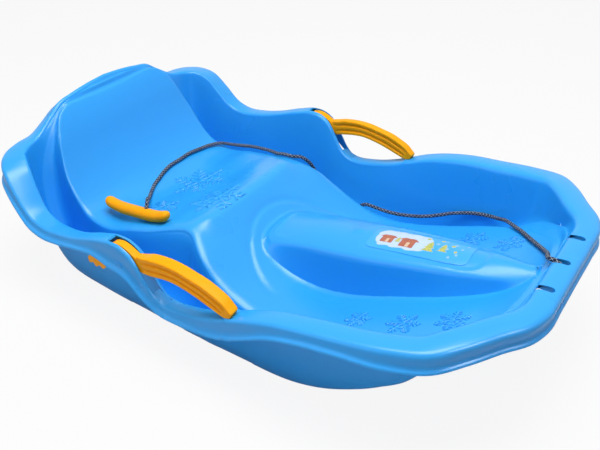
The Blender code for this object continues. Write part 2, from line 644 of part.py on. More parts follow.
# Tow handle: a grip that thins in the middle and turns up at its ends, lying on the seat
HANDLE_CENTRE = (-0.1975, -0.1166, 0.1006)
HANDLE_TURN = math.radians(0.0)
HANDLE_TILT = math.radians(7.0)
HANDLE_RADIUS = 0.0095
HANDLE_END_RADIUS = 0.0085
HANDLE_END_LIFT = 0.0080
HANDLE_UNDER = 0.0088
HOLE_SHIFT = 0.016
HOLE_TILT = math.radians(24.0)
HOLE_RADIUS = 0.0037
RECESS_RADIUS = 0.0054
RECESS_DEPTH = 0.0094
KNOT_RADIUS = 0.0042


def handle_frame():
    """Axes of the handle: along its length, across it and up from the seat."""
    along = Vector((math.cos(HANDLE_TURN) * math.cos(HANDLE_TILT),
                    math.sin(HANDLE_TURN) * math.cos(HANDLE_TILT), math.sin(HANDLE_TILT)))
    across = Vector((-math.sin(HANDLE_TURN), math.cos(HANDLE_TURN), 0.0))
    return along, across, along.cross(across)


def tube_mesh(name, centres, radii, across, up, sides=14, flatness=1.0):
    """Rings about a line of centres, closed at both ends by a point."""
    mesh = bpy.data.meshes.new(name)
    build = bmesh.new()
    rings = []
    for centre, radius in zip(centres[1:-1], radii[1:-1]):
        ring = []
        for index in range(sides):
            angle = 2.0 * math.pi * index / sides
            offset = across * (math.cos(angle) * radius) + up * (math.sin(angle) * radius * flatness)
            ring.append(build.verts.new(centre + offset))
        rings.append(ring)
    for first, second in zip(rings[:-1], rings[1:]):
        for index in range(sides):
            after = (index + 1) % sides
            build.faces.new((first[index], first[after], second[after], second[index]))
    for point, ring in ((centres[0], rings[0]), (centres[-1], rings[-1])):
        tip = build.verts.new(point)
        for index in range(sides):
            build.faces.new((ring[index], ring[(index + 1) % sides], tip))
    bmesh.ops.recalc_face_normals(build, faces=build.faces)
    build.to_mesh(mesh)
    build.free()
    return mesh


def build_handle():
    along, across, up = handle_frame()
    middle = Vector(HANDLE_CENTRE)
    half = HANDLE_LENGTH / 2
    spots = [-1.0, -0.985, -0.94, -0.87, -0.78, -0.66, -0.5, -0.3, -0.1]
    spots = spots + [-value for value in spots[::-1]]
    centres = []
    radii = []
    for value in spots:
        lift = HANDLE_END_LIFT * max(abs(value) - 0.35, 0.0) ** 2 / 0.42
        centres.append(middle + along * (value * half) + up * lift)
        end = max(abs(value) - 0.4, 0.0) / 0.6
        radius = HANDLE_RADIUS + (HANDLE_END_RADIUS - HANDLE_RADIUS) * end
        cap = min((1.0 - abs(value)) * half / HANDLE_END_RADIUS, 1.0)
        radii.append(radius * math.sqrt(1.0 - (1.0 - cap) ** 2))
    handle = place("tow_handle", tube_mesh("tow_handle", centres, radii, across, up, 16, 0.9), YELLOW)
    moved_origin(handle, HANDLE_CENTRE)
    axis = hole_axis()
    middle = hole_centre()
    hole = tube_between("handle_hole", middle - axis * 0.02, middle + axis * 0.02, HOLE_RADIUS, 16)
    boolean(handle, hole, "DIFFERENCE")
    floor = middle - axis * (HANDLE_UNDER - RECESS_DEPTH)
    recess = tube_between("handle_recess", middle - axis * 0.02, floor, RECESS_RADIUS, 18)
    boolean(handle, recess, "DIFFERENCE")
    smooth(handle)
    return handle


def hole_centre():
    """Middle of the cord hole, a little towards one end of the handle."""
    along, across, up = handle_frame()
    return Vector(HANDLE_CENTRE) + along * HOLE_SHIFT


def hole_axis():
    """Way the cord leaves the handle: up and back towards the far side."""
    along, across, up = handle_frame()
    return (up * math.cos(HOLE_TILT) + across * math.sin(HOLE_TILT)).normalized()


def tube_between(name, start, end, radius, sides, home=CUTTERS):
    """A plain cylinder from one point to another."""
    axis = (end - start).normalized()
    across = axis.orthogonal().normalized()
    other = axis.cross(across)
    mesh = bpy.data.meshes.new(name)
    build = bmesh.new()
    rings = []
    for centre in (start, end):
        ring = []
        for index in range(sides):
            angle = 2.0 * math.pi * index / sides
            ring.append(build.verts.new(centre + across * (radius * math.cos(angle))
                                        + other * (radius * math.sin(angle))))
        rings.append(ring)
    for index in range(sides):
        after = (index + 1) % sides
        build.faces.new((rings[0][index], rings[0][after], rings[1][after], rings[1][index]))
    build.faces.new(rings[0])
    build.faces.new(rings[1])
    bmesh.ops.recalc_face_normals(build, faces=build.faces)
    build.to_mesh(mesh)
    build.free()
    return place(name, mesh, None, home)


def build_knot(name, centre, radius):
    """A knot drawn tight, as a slightly flattened ball."""
    mesh = bpy.data.meshes.new(name)
    build = bmesh.new()
    bmesh.ops.create_uvsphere(build, u_segments=12, v_segments=8, radius=radius)
    build.to_mesh(mesh)
    build.free()
    knot = place(name, mesh, CORD_GREY)
    knot.location = centre
    smooth(knot)
    return knot


HANDLE = build_handle()
KNOT_DROP = HANDLE_UNDER - RECESS_DEPTH + KNOT_RADIUS + CLEARANCE
HANDLE_KNOT_AT = hole_centre() - hole_axis() * KNOT_DROP
HANDLE_KNOT = build_knot("handle_knot", HANDLE_KNOT_AT, KNOT_RADIUS)
BOW_KNOT_RADIUS = 0.0060
BOW_KNOT_AT = graded_point(0.3716, 0.0, 0.1612)
BOW_KNOT = build_knot("bow_knot", BOW_KNOT_AT, BOW_KNOT_RADIUS)

# Cord route in the drawn frame, chosen by hand from the knot at the bow to the handle
CORD_ROUTE = [
    (0.3622, 0.0000, 0.1682), (0.3570, 0.0002, 0.1703), (0.3512, 0.0004, 0.1704),
    (0.3472, 0.0062, 0.1676), (0.3448, 0.0170, 0.1622), (0.3408, 0.0320, 0.1548),
    (0.3318, 0.0527, 0.1436), (0.3190, 0.0737, 0.1337), (0.3063, 0.0920, 0.1259),
    (0.2939, 0.1077, 0.1200), (0.2812, 0.1229, 0.1147), (0.2689, 0.1358, 0.1094),
    (0.2570, 0.1490, 0.1042), (0.2450, 0.1645, 0.0955), (0.2330, 0.1780, 0.0858),
    (0.2180, 0.1880, 0.0788), (0.1930, 0.1925, 0.0724), (0.1735, 0.1920, 0.0665),
    (0.1565, 0.1880, 0.0615), (0.1426, 0.1830, 0.0565), (0.1286, 0.1780, 0.0522),
    (0.1140, 0.1735, 0.0488), (0.0992, 0.1690, 0.0470), (0.0842, 0.1645, 0.0462),
    (0.0683, 0.1610, 0.0465), (0.0540, 0.1585, 0.0478), (0.0400, 0.1575, 0.0490),
    (0.0280, 0.1590, 0.0480), (0.0160, 0.1640, 0.0400), (0.0050, 0.1700, 0.0270),
    (-0.0080, 0.1750, 0.0150), (-0.0260, 0.1775, 0.0095), (-0.0440, 0.1775, 0.0150),
    (-0.0570, 0.1735, 0.0320), (-0.0640, 0.1660, 0.0560), (-0.0690, 0.1560, 0.0800),
    (-0.0742, 0.1425, 0.1030), (-0.0808, 0.1295, 0.1147), (-0.0900, 0.1205, 0.1172),
    (-0.1020, 0.1180, 0.1180), (-0.1200, 0.1210, 0.1133), (-0.1400, 0.1300, 0.1082),
    (-0.1600, 0.1365, 0.1030), (-0.1850, 0.1415, 0.0975), (-0.2100, 0.1435, 0.0915),
    (-0.2350, 0.1425, 0.0872), (-0.2530, 0.1370, 0.0865), (-0.2620, 0.1220, 0.0868),
    (-0.2661, 0.1001, 0.0880), (-0.2689, 0.0778, 0.0893), (-0.2690, 0.0520, 0.0883),
    (-0.2690, 0.0290, 0.0878), (-0.2665, 0.0130, 0.0862), (-0.2615, -0.0045, 0.0840),
    (-0.2560, -0.0215, 0.0822), (-0.2480, -0.0365, 0.0814), (-0.2385, -0.0510, 0.0822),
    (-0.2300, -0.0620, 0.0852), (-0.2215, -0.0715, 0.0902), (-0.2130, -0.0800, 0.0965),
    (-0.2030, -0.0894, 0.1059), (-0.1930, -0.0989, 0.1153), (-0.1903, -0.1016, 0.1170),
    (-0.1877, -0.1048, 0.1173), (-0.1853, -0.1081, 0.1162), (-0.1835, -0.1110, 0.1137),
]
CORD_STEP = 0.0146


def smooth_route(points, step):
    """Even points on a cubic curve through the route, with both ends kept."""
    table = np.array([tuple(point) for point in points])
    chord = np.concatenate([[0.0], np.cumsum(np.linalg.norm(np.diff(table, axis=0), axis=1))])
    fine = cubic(np.linspace(0.0, chord[-1], 2000), chord, table)
    length = np.concatenate([[0.0], np.cumsum(np.linalg.norm(np.diff(fine, axis=0), axis=1))])
    count = int(round(length[-1] / step)) + 1
    wanted = np.linspace(0.0, length[-1], count)
    return np.stack([np.interp(wanted, length, fine[:, axis]) for axis in range(3)], axis=1), length[-1]


def build_cord():
    axis = hole_axis()
    start = BOW_KNOT_AT + Vector((-0.78, 0.0, 0.62)).normalized() * (BOW_KNOT_RADIUS + CLEARANCE)
    end = HANDLE_KNOT_AT + axis * (KNOT_RADIUS + CLEARANCE)
    leaving = [hole_centre() + axis * 0.0085, hole_centre() + axis * 0.0045]
    points = [start] + [graded_point(*point) for point in CORD_ROUTE] + leaving + [end]
    points, length = smooth_route(points, CORD_STEP)
    curve = bpy.data.curves.new("tow_cord", "CURVE")
    curve.dimensions = "3D"
    curve.bevel_depth = CORD_DIAMETER / 2
    curve.bevel_resolution = 2
    curve.use_fill_caps = True
    spline = curve.splines.new("POLY")
    spline.points.add(len(points) - 1)
    for point, place_at in zip(spline.points, points):
        point.co = (*place_at, 1.0)
    cord = place("tow_cord", curve, CORD_GREY)
    return cord


CORD = build_cord()

# Sticker on the raised panel, laid on the panel's own grid of points
STICKER_FROM = 0.115
STICKER_TO = 0.262
STICKER_GAP = 0.0002
STICKER_THICKNESS = 0.0004
STICKER_SHARE = 0.45


def build_sticker():
    grid = hull_grid(SECTIONS)
    spine_x = SECTIONS[:, 11]
    columns = np.flatnonzero((spine_x > STICKER_FROM) & (spine_x < STICKER_TO))
    middle = grid[-1, columns]
    halfway = grid[-2, columns]
    edge = halfway + (grid[-3, columns] - halfway) * STICKER_SHARE
    rows = [edge, halfway, middle]
    rows.extend([row * np.array([1.0, -1.0, 1.0]) for row in (halfway, edge)])
    sheet = np.stack(rows)
    sheet[..., 2] += STICKER_GAP
    sticker = place("sticker", grid_mesh("sticker", sheet), LABEL)
    modifier(sticker, "SOLIDIFY", thickness=STICKER_THICKNESS, offset=1.0)
    smooth(sticker)
    return sticker


STICKER = build_sticker()
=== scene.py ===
# %% [markdown]
# # A moulded snow sled
# The real thing is one sheet of plastic, about 3 mm thick, drawn into a deep tub with a seat, two foot
# wells and a turned-over rim. Two yellow brake levers snap into slots in the rim, and a braided cord
# runs from the bow to a small yellow handle. Here every visible surface is made again, finer than in the
# CAD model, at exactly the same place, and gets its finish.

# %% Load the frame and keep its size
import math

import bmesh
import bpy
import numpy as np
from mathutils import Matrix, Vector


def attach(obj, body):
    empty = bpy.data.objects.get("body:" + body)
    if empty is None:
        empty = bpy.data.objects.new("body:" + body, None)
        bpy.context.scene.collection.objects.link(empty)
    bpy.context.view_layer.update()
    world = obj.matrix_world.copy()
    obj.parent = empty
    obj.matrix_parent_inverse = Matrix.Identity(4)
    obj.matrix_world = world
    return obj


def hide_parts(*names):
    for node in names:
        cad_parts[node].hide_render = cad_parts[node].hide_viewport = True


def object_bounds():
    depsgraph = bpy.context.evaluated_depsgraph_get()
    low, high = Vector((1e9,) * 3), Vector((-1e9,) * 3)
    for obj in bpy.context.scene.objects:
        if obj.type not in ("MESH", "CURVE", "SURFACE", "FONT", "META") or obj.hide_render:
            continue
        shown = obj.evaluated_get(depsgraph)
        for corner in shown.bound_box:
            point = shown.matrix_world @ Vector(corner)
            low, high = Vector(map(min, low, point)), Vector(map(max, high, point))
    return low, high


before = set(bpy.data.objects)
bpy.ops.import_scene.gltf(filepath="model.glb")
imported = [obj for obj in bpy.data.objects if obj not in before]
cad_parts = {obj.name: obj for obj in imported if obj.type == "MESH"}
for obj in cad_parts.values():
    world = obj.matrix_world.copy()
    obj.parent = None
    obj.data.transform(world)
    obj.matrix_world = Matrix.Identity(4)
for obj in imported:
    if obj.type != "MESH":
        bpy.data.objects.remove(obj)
CAD_BOX = [list(corner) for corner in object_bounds()]
print("CAD box", np.round(CAD_BOX, 4).tolist())

# %% [markdown]
# ## The camera
# The picture was taken from in front of the sled, to the rider's right and well above it, with a normal
# lens. A camera is placed by its position, how far it looks down, and how far it is turned. The focal
# length then sets how much perspective the picture has.

# %% Camera
CAMERA_PLACE = (0.487, -0.720, 0.668)
LOOK_DOWN = math.radians(33.78)
TURN = math.radians(33.78)
LENS = 43.68
SENSOR_WIDTH = 36.0

camera_data = bpy.data.cameras.new("camera")
camera_data.lens = LENS
camera_data.sensor_width = SENSOR_WIDTH
camera = bpy.data.objects.new("camera", camera_data)
camera.location = CAMERA_PLACE
camera.rotation_euler = (math.radians(90.0) - LOOK_DOWN, 0.0, TURN)
bpy.context.scene.collection.objects.link(camera)
bpy.context.scene.camera = camera
bpy.context.scene.view_settings.view_transform = "Standard"
print("camera", CAMERA_PLACE, "lens", LENS)

# %% [markdown]
# ## Small helpers for meshes
# Nearly everything on the sled is a curved sheet, so most pieces are grids: an array of points with rows
# and columns, joined by quads. The helpers turn such an array into a mesh in one go.


# %% Meshes from arrays
def quads_of(rows, columns, round_rows=False, round_columns=False):
    """Quads between neighbouring rows and columns of a grid, closed round where asked."""
    index = np.arange(rows * columns).reshape(rows, columns)
    if round_rows:
        index = np.vstack([index, index[:1]])
    if round_columns:
        index = np.hstack([index, index[:, :1]])
    quads = np.stack([index[:-1, :-1], index[:-1, 1:], index[1:, 1:], index[1:, :-1]], axis=-1)
    return quads.reshape(-1, 4)


def capped(rows, columns, flip=False):
    """Faces of a tube: quads closed round its columns, and one face over each end."""
    first = np.arange(columns)
    last = first + (rows - 1) * columns
    ends = [first, last[::-1]] if flip else [first[::-1], last]
    return quads_of(rows, columns, round_columns=True).tolist() + [end.tolist() for end in ends]


def object_of(name, points, faces):
    """A linked object with a smooth mesh of the points and faces."""
    mesh = bpy.data.meshes.new(name)
    mesh.from_pydata(np.reshape(points, (-1, 3)).tolist(), [], [list(face) for face in faces])
    mesh.validate()
    mesh.shade_smooth()
    made = bpy.data.objects.new(name, mesh)
    bpy.context.scene.collection.objects.link(made)
    return made


def settle(item, merge=None):
    """Apply the modifiers and leave a plain mesh; with merge, weld close points and face it outwards."""
    graph = bpy.context.evaluated_depsgraph_get()
    mesh = bpy.data.meshes.new_from_object(item.evaluated_get(graph))
    item.modifiers.clear()
    build = bmesh.new()
    build.from_mesh(mesh)
    if merge is not None:
        bmesh.ops.remove_doubles(build, verts=build.verts, dist=merge)
        bmesh.ops.recalc_face_normals(build, faces=build.faces)
    build.to_mesh(mesh)
    build.free()
    old = item.data
    item.data = mesh
    bpy.data.meshes.remove(old)
    return item


def join(first, *others):
    """Add other objects' meshes to the first and remove them."""
    build = bmesh.new()
    build.from_mesh(first.data)
    for other in others:
        build.from_mesh(other.data)
        bpy.data.objects.remove(other, do_unlink=True)
    build.to_mesh(first.data)
    build.free()
    return first


def triangles(item):
    """How many triangles an object's faces make."""
    return sum(len(polygon.vertices) - 2 for polygon in item.data.polygons)


# %% Modifiers and places
def configured(thing, **settings):
    """Set the plain properties of a node, a modifier or a lamp."""
    for key, value in settings.items():
        setattr(thing, key, value)
    return thing


def modifier(item, kind, **settings):
    """Add a modifier with its properties set."""
    return configured(item.modifiers.new(kind.lower(), kind), **settings)


def cut_out(item, cutter):
    """Take the cutter's shape out of the item, and remove the cutter."""
    modifier(item, "BOOLEAN", object=cutter, operation="DIFFERENCE", solver="EXACT")
    settle(item)
    bpy.data.objects.remove(cutter, do_unlink=True)


def face_up(item):
    """Turn a sheet's faces over if they look down on the whole."""
    if sum(polygon.normal.z * polygon.area for polygon in item.data.polygons) < 0.0:
        item.data.flip_normals()


def places_of(item):
    """The places of an object's vertices, one row each."""
    places = np.empty(len(item.data.vertices) * 3, np.float32)
    item.data.vertices.foreach_get("co", places)
    return places.reshape(-1, 3)


def unit(vectors):
    """The same directions with length one."""
    return vectors / np.linalg.norm(vectors, axis=-1, keepdims=True)


def run_along(points):
    """The length along a chain of points, from its first point to each."""
    return np.concatenate([[0.0], np.cumsum(np.linalg.norm(np.diff(points, axis=0), axis=-1))])


def circle(sides):
    """Even angles once round."""
    return 2.0 * np.pi * np.arange(sides) / sides


def paint(material, *items):
    """Give a finish to some pieces."""
    for item in items:
        item.data.materials.append(material)


# %% [markdown]
# ## Smooth lines through a few points
# A maker draws a hull with a few lines and lets a bent batten join them. The same is done here: a cubic
# curve runs through each table's points, and its slope at a point comes from the two neighbours.


# %% Curves through points
def cubic(t, start, end, leaving, arriving):
    """The cubic from start to end, for t from 0 to 1, with the slopes that it leaves and arrives by."""
    first = (1 + 2 * t) * (1 - t) ** 2 * start + t * (1 - t) ** 2 * leaving
    return first + t * t * (3 - 2 * t) * end + t * t * (t - 1) * arriving


def through(value, xs, ys):
    """Cubic pieces through (xs, ys): position and slope match at each point."""
    ys = np.asarray(ys, float)
    slope = np.gradient(ys, xs, axis=0)
    index = np.clip(np.searchsorted(xs, value, side="right") - 1, 0, len(xs) - 2)
    step = xs[index + 1] - xs[index]
    t = (value - xs[index]) / step
    if ys.ndim > 1:
        t = t[..., None]
        step = step[..., None]
    return cubic(t, ys[index], ys[index + 1], step * slope[index], step * slope[index + 1])


def read(value, table):
    """A table of (x, size) read at value by the cubic curve through it."""
    points = np.array(table)
    return through(np.clip(value, points[0, 0], points[-1, 0]), points[:, 0], points[:, 1])


def ease(value):
    """0 below 0, 1 above 1, and an S between: 3t² minus 2t³."""
    value = np.clip(value, 0.0, 1.0)
    return value * value * (3.0 - 2.0 * value)


def soft_step(value, softness):
    """Like a ramp clipped to 0 and 1, with its two corners rounded."""
    low = np.sqrt(value ** 2 + softness ** 2)
    high = np.sqrt((value - 1.0) ** 2 + softness ** 2)
    return (low - high + 1.0) / 2.0


# %% [markdown]
# ## The tow cord
# The cord is one fixed length of braid, 5.5 mm thick and 1.17 m long, and the picture shows all of it.
# It leaves its knot under the middle of the bow, drops into the far foot well, follows the channel past
# the thigh hump, climbs onto the seat, goes once round behind the handle and ends in it. The route is a
# short list of points, the same ones as in the CAD model.

# %% The cord's route
HANDLE_CENTRE = np.array([-0.1975, -0.1166, 0.1006])
HANDLE_TILT = math.radians(7.0)
HOLE_LEAN = math.radians(24.0)
HOLE_OFFSET = 0.016
KNOT_DROP = 0.0045
HANDLE_ALONG = np.array([math.cos(HANDLE_TILT), 0.0, math.sin(HANDLE_TILT)])
HANDLE_ACROSS = np.array([0.0, 1.0, 0.0])
HANDLE_UP = np.cross(HANDLE_ALONG, HANDLE_ACROSS)
HOLE_MIDDLE = HANDLE_CENTRE + HANDLE_ALONG * HOLE_OFFSET
HOLE_AXIS = HANDLE_UP * math.cos(HOLE_LEAN) + HANDLE_ACROSS * math.sin(HOLE_LEAN)
RECESS_TOP = HOLE_MIDDLE + HOLE_AXIS * 0.0006
HANDLE_KNOT = RECESS_TOP - HOLE_AXIS * KNOT_DROP
BOW_KNOT = np.array([0.3716, 0.0, 0.1612])

CORD_DIAMETER = 0.0055
BOW_KNOT_RADIUS = 0.0060
HANDLE_KNOT_RADIUS = 0.0042
CORD_ROUTE = [
    (0.3622, 0.0, 0.1682), (0.357, 0.0002, 0.1703), (0.3512, 0.0004, 0.1704),
    (0.3472, 0.0062, 0.1676), (0.3448, 0.017, 0.1622), (0.3408, 0.032, 0.1548),
    (0.3318, 0.0527, 0.1436), (0.319, 0.0737, 0.1337), (0.3063, 0.092, 0.1259),
    (0.2939, 0.1077, 0.12), (0.2812, 0.1229, 0.1147), (0.2689, 0.1358, 0.1094),
    (0.257, 0.149, 0.1042), (0.245, 0.1645, 0.0955), (0.233, 0.178, 0.0858),
    (0.218, 0.188, 0.0788), (0.193, 0.1925, 0.0724), (0.1735, 0.192, 0.0665),
    (0.1565, 0.188, 0.0615), (0.1426, 0.183, 0.0565), (0.1286, 0.178, 0.0522),
    (0.114, 0.1735, 0.0488), (0.0992, 0.169, 0.047), (0.0842, 0.1645, 0.0462),
    (0.0683, 0.161, 0.0465), (0.054, 0.1585, 0.0478), (0.04, 0.1575, 0.049),
    (0.028, 0.159, 0.048), (0.016, 0.164, 0.04), (0.005, 0.17, 0.027),
    (-0.008, 0.175, 0.015), (-0.026, 0.1775, 0.0095), (-0.044, 0.1775, 0.015),
    (-0.057, 0.1735, 0.032), (-0.064, 0.166, 0.056), (-0.069, 0.156, 0.08),
    (-0.0742, 0.1425, 0.103), (-0.0808, 0.1295, 0.1147), (-0.09, 0.1205, 0.1172),
    (-0.102, 0.118, 0.118), (-0.12, 0.121, 0.1133), (-0.14, 0.13, 0.1082),
    (-0.16, 0.1365, 0.103), (-0.185, 0.1415, 0.0975), (-0.21, 0.1435, 0.0915),
    (-0.235, 0.1425, 0.0872), (-0.253, 0.137, 0.0865), (-0.262, 0.122, 0.0868),
    (-0.2661, 0.1001, 0.088), (-0.2689, 0.0778, 0.0893), (-0.269, 0.052, 0.0883),
    (-0.269, 0.029, 0.0878), (-0.2665, 0.013, 0.0862), (-0.2615, -0.0045, 0.084),
    (-0.256, -0.0215, 0.0822), (-0.248, -0.0365, 0.0814), (-0.2385, -0.051, 0.0822),
    (-0.23, -0.062, 0.0852), (-0.2215, -0.0715, 0.0902), (-0.213, -0.08, 0.0965),
    (-0.203, -0.0894, 0.1059), (-0.193, -0.0989, 0.1153), (-0.1903, -0.1016, 0.117),
    (-0.1877, -0.1048, 0.1173), (-0.1853, -0.1081, 0.1162), (-0.1835, -0.111, 0.1137),
]
LEAVING_BOW = np.array([-0.78, 0.0, 0.62]) / math.hypot(0.78, 0.62)
CORD_START = BOW_KNOT + LEAVING_BOW * 0.0063
CORD_END = HANDLE_KNOT + HOLE_AXIS * KNOT_DROP


def even_path(points, step):
    """Even points along the cubic curve through a route, both ends kept, and its length."""
    table = np.array(points, float)
    chord = run_along(table)
    fine = through(np.linspace(0.0, chord[-1], 4000), chord, table)
    length = run_along(fine)
    wanted = np.linspace(0.0, length[-1], int(round(length[-1] / step)) + 1)
    return np.stack([np.interp(wanted, length, fine[:, axis]) for axis in range(3)], axis=1), length[-1]


CORD_STEP = 0.0009
ABOVE_HANDLE = (0.0085, 0.0045)
into_handle = [HOLE_MIDDLE + HOLE_AXIS * above for above in ABOVE_HANDLE]
cord_path, CORD_LENGTH = even_path([CORD_START, *CORD_ROUTE, *into_handle, CORD_END], CORD_STEP)
print("cord", round(CORD_LENGTH, 3), "m long,", len(cord_path), "points")

# %% [markdown]
# ## Tubes that don't twist
# A ring is put round each point of a path. If the rings' zero angle jumped about, the braid would be
# wrung, so each ring's start is turned back by the twist that has built up along the path.


# %% A tube along a path
def path_frames(path, closed=False):
    """Two unit vectors across each point of the path that turn as little as possible along it."""
    if closed:
        along = np.roll(path, -1, axis=0) - np.roll(path, 1, axis=0)
    else:
        along = np.gradient(path, axis=0)
    along = unit(along)
    side = unit(np.cross(along, (0.36, 0.48, 0.8)))
    over = np.cross(along, side)
    carried = side[:-1] - along[1:] * np.sum(side[:-1] * along[1:], axis=1)[:, None]
    angle = np.arctan2(np.sum(carried * over[1:], axis=1), np.sum(carried * side[1:], axis=1))
    turn = np.concatenate([[0.0], np.cumsum(angle)])
    if closed:
        turn = turn - turn[-1] * np.linspace(0.0, 1.0, len(turn))
    cosine, sine = np.cos(turn)[:, None], np.sin(turn)[:, None]
    return side * cosine + over * sine, over * cosine - side * sine


def braid_swell(around, along, strands):
    """How far the braid stands out, 0 to 1: each strand is a ridge, high where it passes on top."""
    first = strands * (around + along)
    second = strands * (around - along)
    first_on_top = (np.floor(first) + np.floor(second)) % 2 < 1
    ridge = np.where(first_on_top, first % 1.0, second % 1.0)
    run = np.where(first_on_top, second % 1.0, first % 1.0)
    return np.sin(np.pi * ridge) * (0.7 + 0.3 * np.sin(np.pi * run))


def braided_tube(name, path, radius, strands=8, sides=32, swell=0.05, closed=False):
    """A braided round cord on a path: radius times one plus a small swell, with a UV map for the braid.
    U runs once round the cord, and V counts lengths in turns of the same size."""
    side, over = path_frames(path, closed)
    length = run_along(path) / (2.0 * np.pi * radius)
    if closed:
        length = length * (round(length[-1] + 1) / (2.0 * length[-1] - length[-2]))
    around = np.arange(sides) / sides
    turn = 2.0 * np.pi * around
    reach = radius * (1.0 + swell * (braid_swell(around[None, :], length[:, None], strands) - 1.0))
    rings = path[:, None] + reach[..., None] * (side[:, None] * np.cos(turn)[None, :, None]
                                                + over[:, None] * np.sin(turn)[None, :, None])
    rows = len(path)
    faces = quads_of(rows, sides, True, True) if closed else capped(rows, sides, flip=True)
    item = object_of(name, rings, faces)
    side_corners = 4 * sides * (rows if closed else rows - 1)
    vertex = np.empty(len(item.data.loops), int)
    item.data.loops.foreach_get("vertex_index", vertex)
    u = around[vertex % sides]
    v = length[vertex // sides]
    quads = vertex[:side_corners].reshape(-1, 4)
    wrap = (quads % sides == 0) & ((quads % sides).max(axis=1) == sides - 1)[:, None]
    u[:side_corners] += wrap.ravel()
    if closed:
        late = (quads // sides == 0) & ((quads // sides).max(axis=1) == rows - 1)[:, None]
        v[:side_corners] += late.ravel() * float(round(length[-1] + 1))
    layer = item.data.uv_layers.new(name="braid")
    layer.data.foreach_set("uv", np.stack([u, v], axis=1).astype(np.float32).ravel())
    return item


cord = braided_tube("cord_braid", cord_path, CORD_DIAMETER / 2, swell=0.03)
print("cord mesh", triangles(cord), "triangles")

# %% [markdown]
# ## The two knots
# Each end of the cord is an overhand knot drawn tight. A trefoil is the same knot with its ends joined,
# so a fat tube on a trefoil curve looks right, and it stays inside the ball that the CAD model has.


# %% Knots
def knot(name, centre, axis, radius):
    """A tube on a trefoil: (sin t + 2 sin 2t, cos t - 2 cos 2t, -sin 3t) / 3, inside a ball."""
    t = circle(120)
    curve = np.stack([np.sin(t) + 2 * np.sin(2 * t), np.cos(t) - 2 * np.cos(2 * t), -np.sin(3 * t)], axis=1)
    thick = 0.37 * radius
    third = unit(axis)
    first = unit(np.cross(third, (0.1, 1.0, 0.2)))
    placed = centre + (radius - thick) / 3 * curve @ np.stack([first, np.cross(third, first), third])
    return braided_tube(name, placed, thick, strands=6, sides=18, swell=0.08, closed=True)


bow_knot = knot("knot_bow", BOW_KNOT, LEAVING_BOW, BOW_KNOT_RADIUS)
handle_knot = knot("knot_handle", HANDLE_KNOT, HOLE_AXIS, HANDLE_KNOT_RADIUS)
print("knots", triangles(bow_knot), triangles(handle_knot), "triangles")

# %% Join cord and knots to the frame
for piece, cad_node in ((cord, "tow_cord"), (bow_knot, "bow_knot"), (handle_knot, "handle_knot")):
    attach(piece, "sled")
    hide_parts(cad_node)

# %% [markdown]
# ## Floor, background and light
# The sled stands on a plain pale floor. To the camera the floor is almost white and only keeps a soft
# shadow. A large softbox hangs above, a wide weak one stands in front and opens up the walls, and a third
# beyond the bow is only seen in reflections and draws the bright line along its edge. The world gives an
# even fill. Glossy rays see the white surroundings at full strength, which lays the pale sheen on
# everything that faces up.


# %% Node helpers
def wire(tree, made, sockets):
    """Link each input, given by name or number, to an output, or set it to a value."""
    for key, value in sockets.items():
        if isinstance(value, bpy.types.NodeSocket):
            tree.links.new(value, made.inputs[key])
        else:
            made.inputs[key].default_value = value
    return made


def node(tree, kind, sockets=None, **settings):
    """A new node with its properties set and its inputs wired."""
    return wire(tree, configured(tree.nodes.new(kind), **settings), sockets or {})


def maths(tree, operation, *values, clamp=False):
    """A sum on numbers or outputs."""
    sockets = dict(enumerate(values))
    return node(tree, "ShaderNodeMath", sockets, operation=operation, use_clamp=clamp).outputs[0]


def times(tree, first, second):
    """One output or number times another."""
    return maths(tree, "MULTIPLY", first, second)


def ramp(tree, value, low, high, to_low=0.0, to_high=1.0):
    """Smooth step of a value from low to high."""
    sockets = {"Value": value, "From Min": low, "From Max": high, "To Min": to_low, "To Max": to_high}
    return node(tree, "ShaderNodeMapRange", sockets, interpolation_type="SMOOTHSTEP").outputs[0]


def new_material(name):
    """A material with its node tree and its shader."""
    material = bpy.data.materials.new(name)
    material.use_nodes = True
    return material, material.node_tree, material.node_tree.nodes["Principled BSDF"]


# %% Floor and world
FLOOR_REACH = 40.0
FLOOR_DROP = 0.0004
FLOOR_SEEN = 0.90
FILL = 0.31
WHITE = (1.0, 1.0, 1.0, 1.0)

floor_material, tree, shader = new_material("studio_floor")
wire(tree, shader, {"Base Color": (0.66, 0.66, 0.67, 1.0), "Roughness": 0.9, "Specular IOR Level": 0.1})
to_camera = node(tree, "ShaderNodeLightPath").outputs["Is Camera Ray"]
seen = node(tree, "ShaderNodeEmission", {"Color": WHITE})
mixed = node(tree, "ShaderNodeMixShader", {0: times(tree, to_camera, FLOOR_SEEN), 1: shader.outputs[0],
                                           2: seen.outputs[0]})
wire(tree, tree.nodes["Material Output"], {"Surface": mixed.outputs[0]})

corners = [(x * FLOOR_REACH, y * FLOOR_REACH, 0.0) for x, y in ((-1, -1), (1, -1), (1, 1), (-1, 1))]
floor = object_of("studio_floor", corners, [(0, 1, 2, 3)])
paint(floor_material, floor)
floor.location.z = -FLOOR_DROP

world = bpy.data.worlds.new("studio")
world.use_nodes = True
tree = world.node_tree
rays = node(tree, "ShaderNodeLightPath").outputs
direct = maths(tree, "MAXIMUM", rays["Is Camera Ray"], rays["Is Transmission Ray"])
mirrored = maths(tree, "MAXIMUM", direct, rays["Is Glossy Ray"])
strength = ramp(tree, mirrored, 0.0, 1.0, FILL, 1.0)
wire(tree, tree.nodes["Background"], {"Color": WHITE, "Strength": strength})
bpy.context.scene.world = world
print("floor", round(2.0 * FLOOR_REACH), "m wide, fill", FILL)


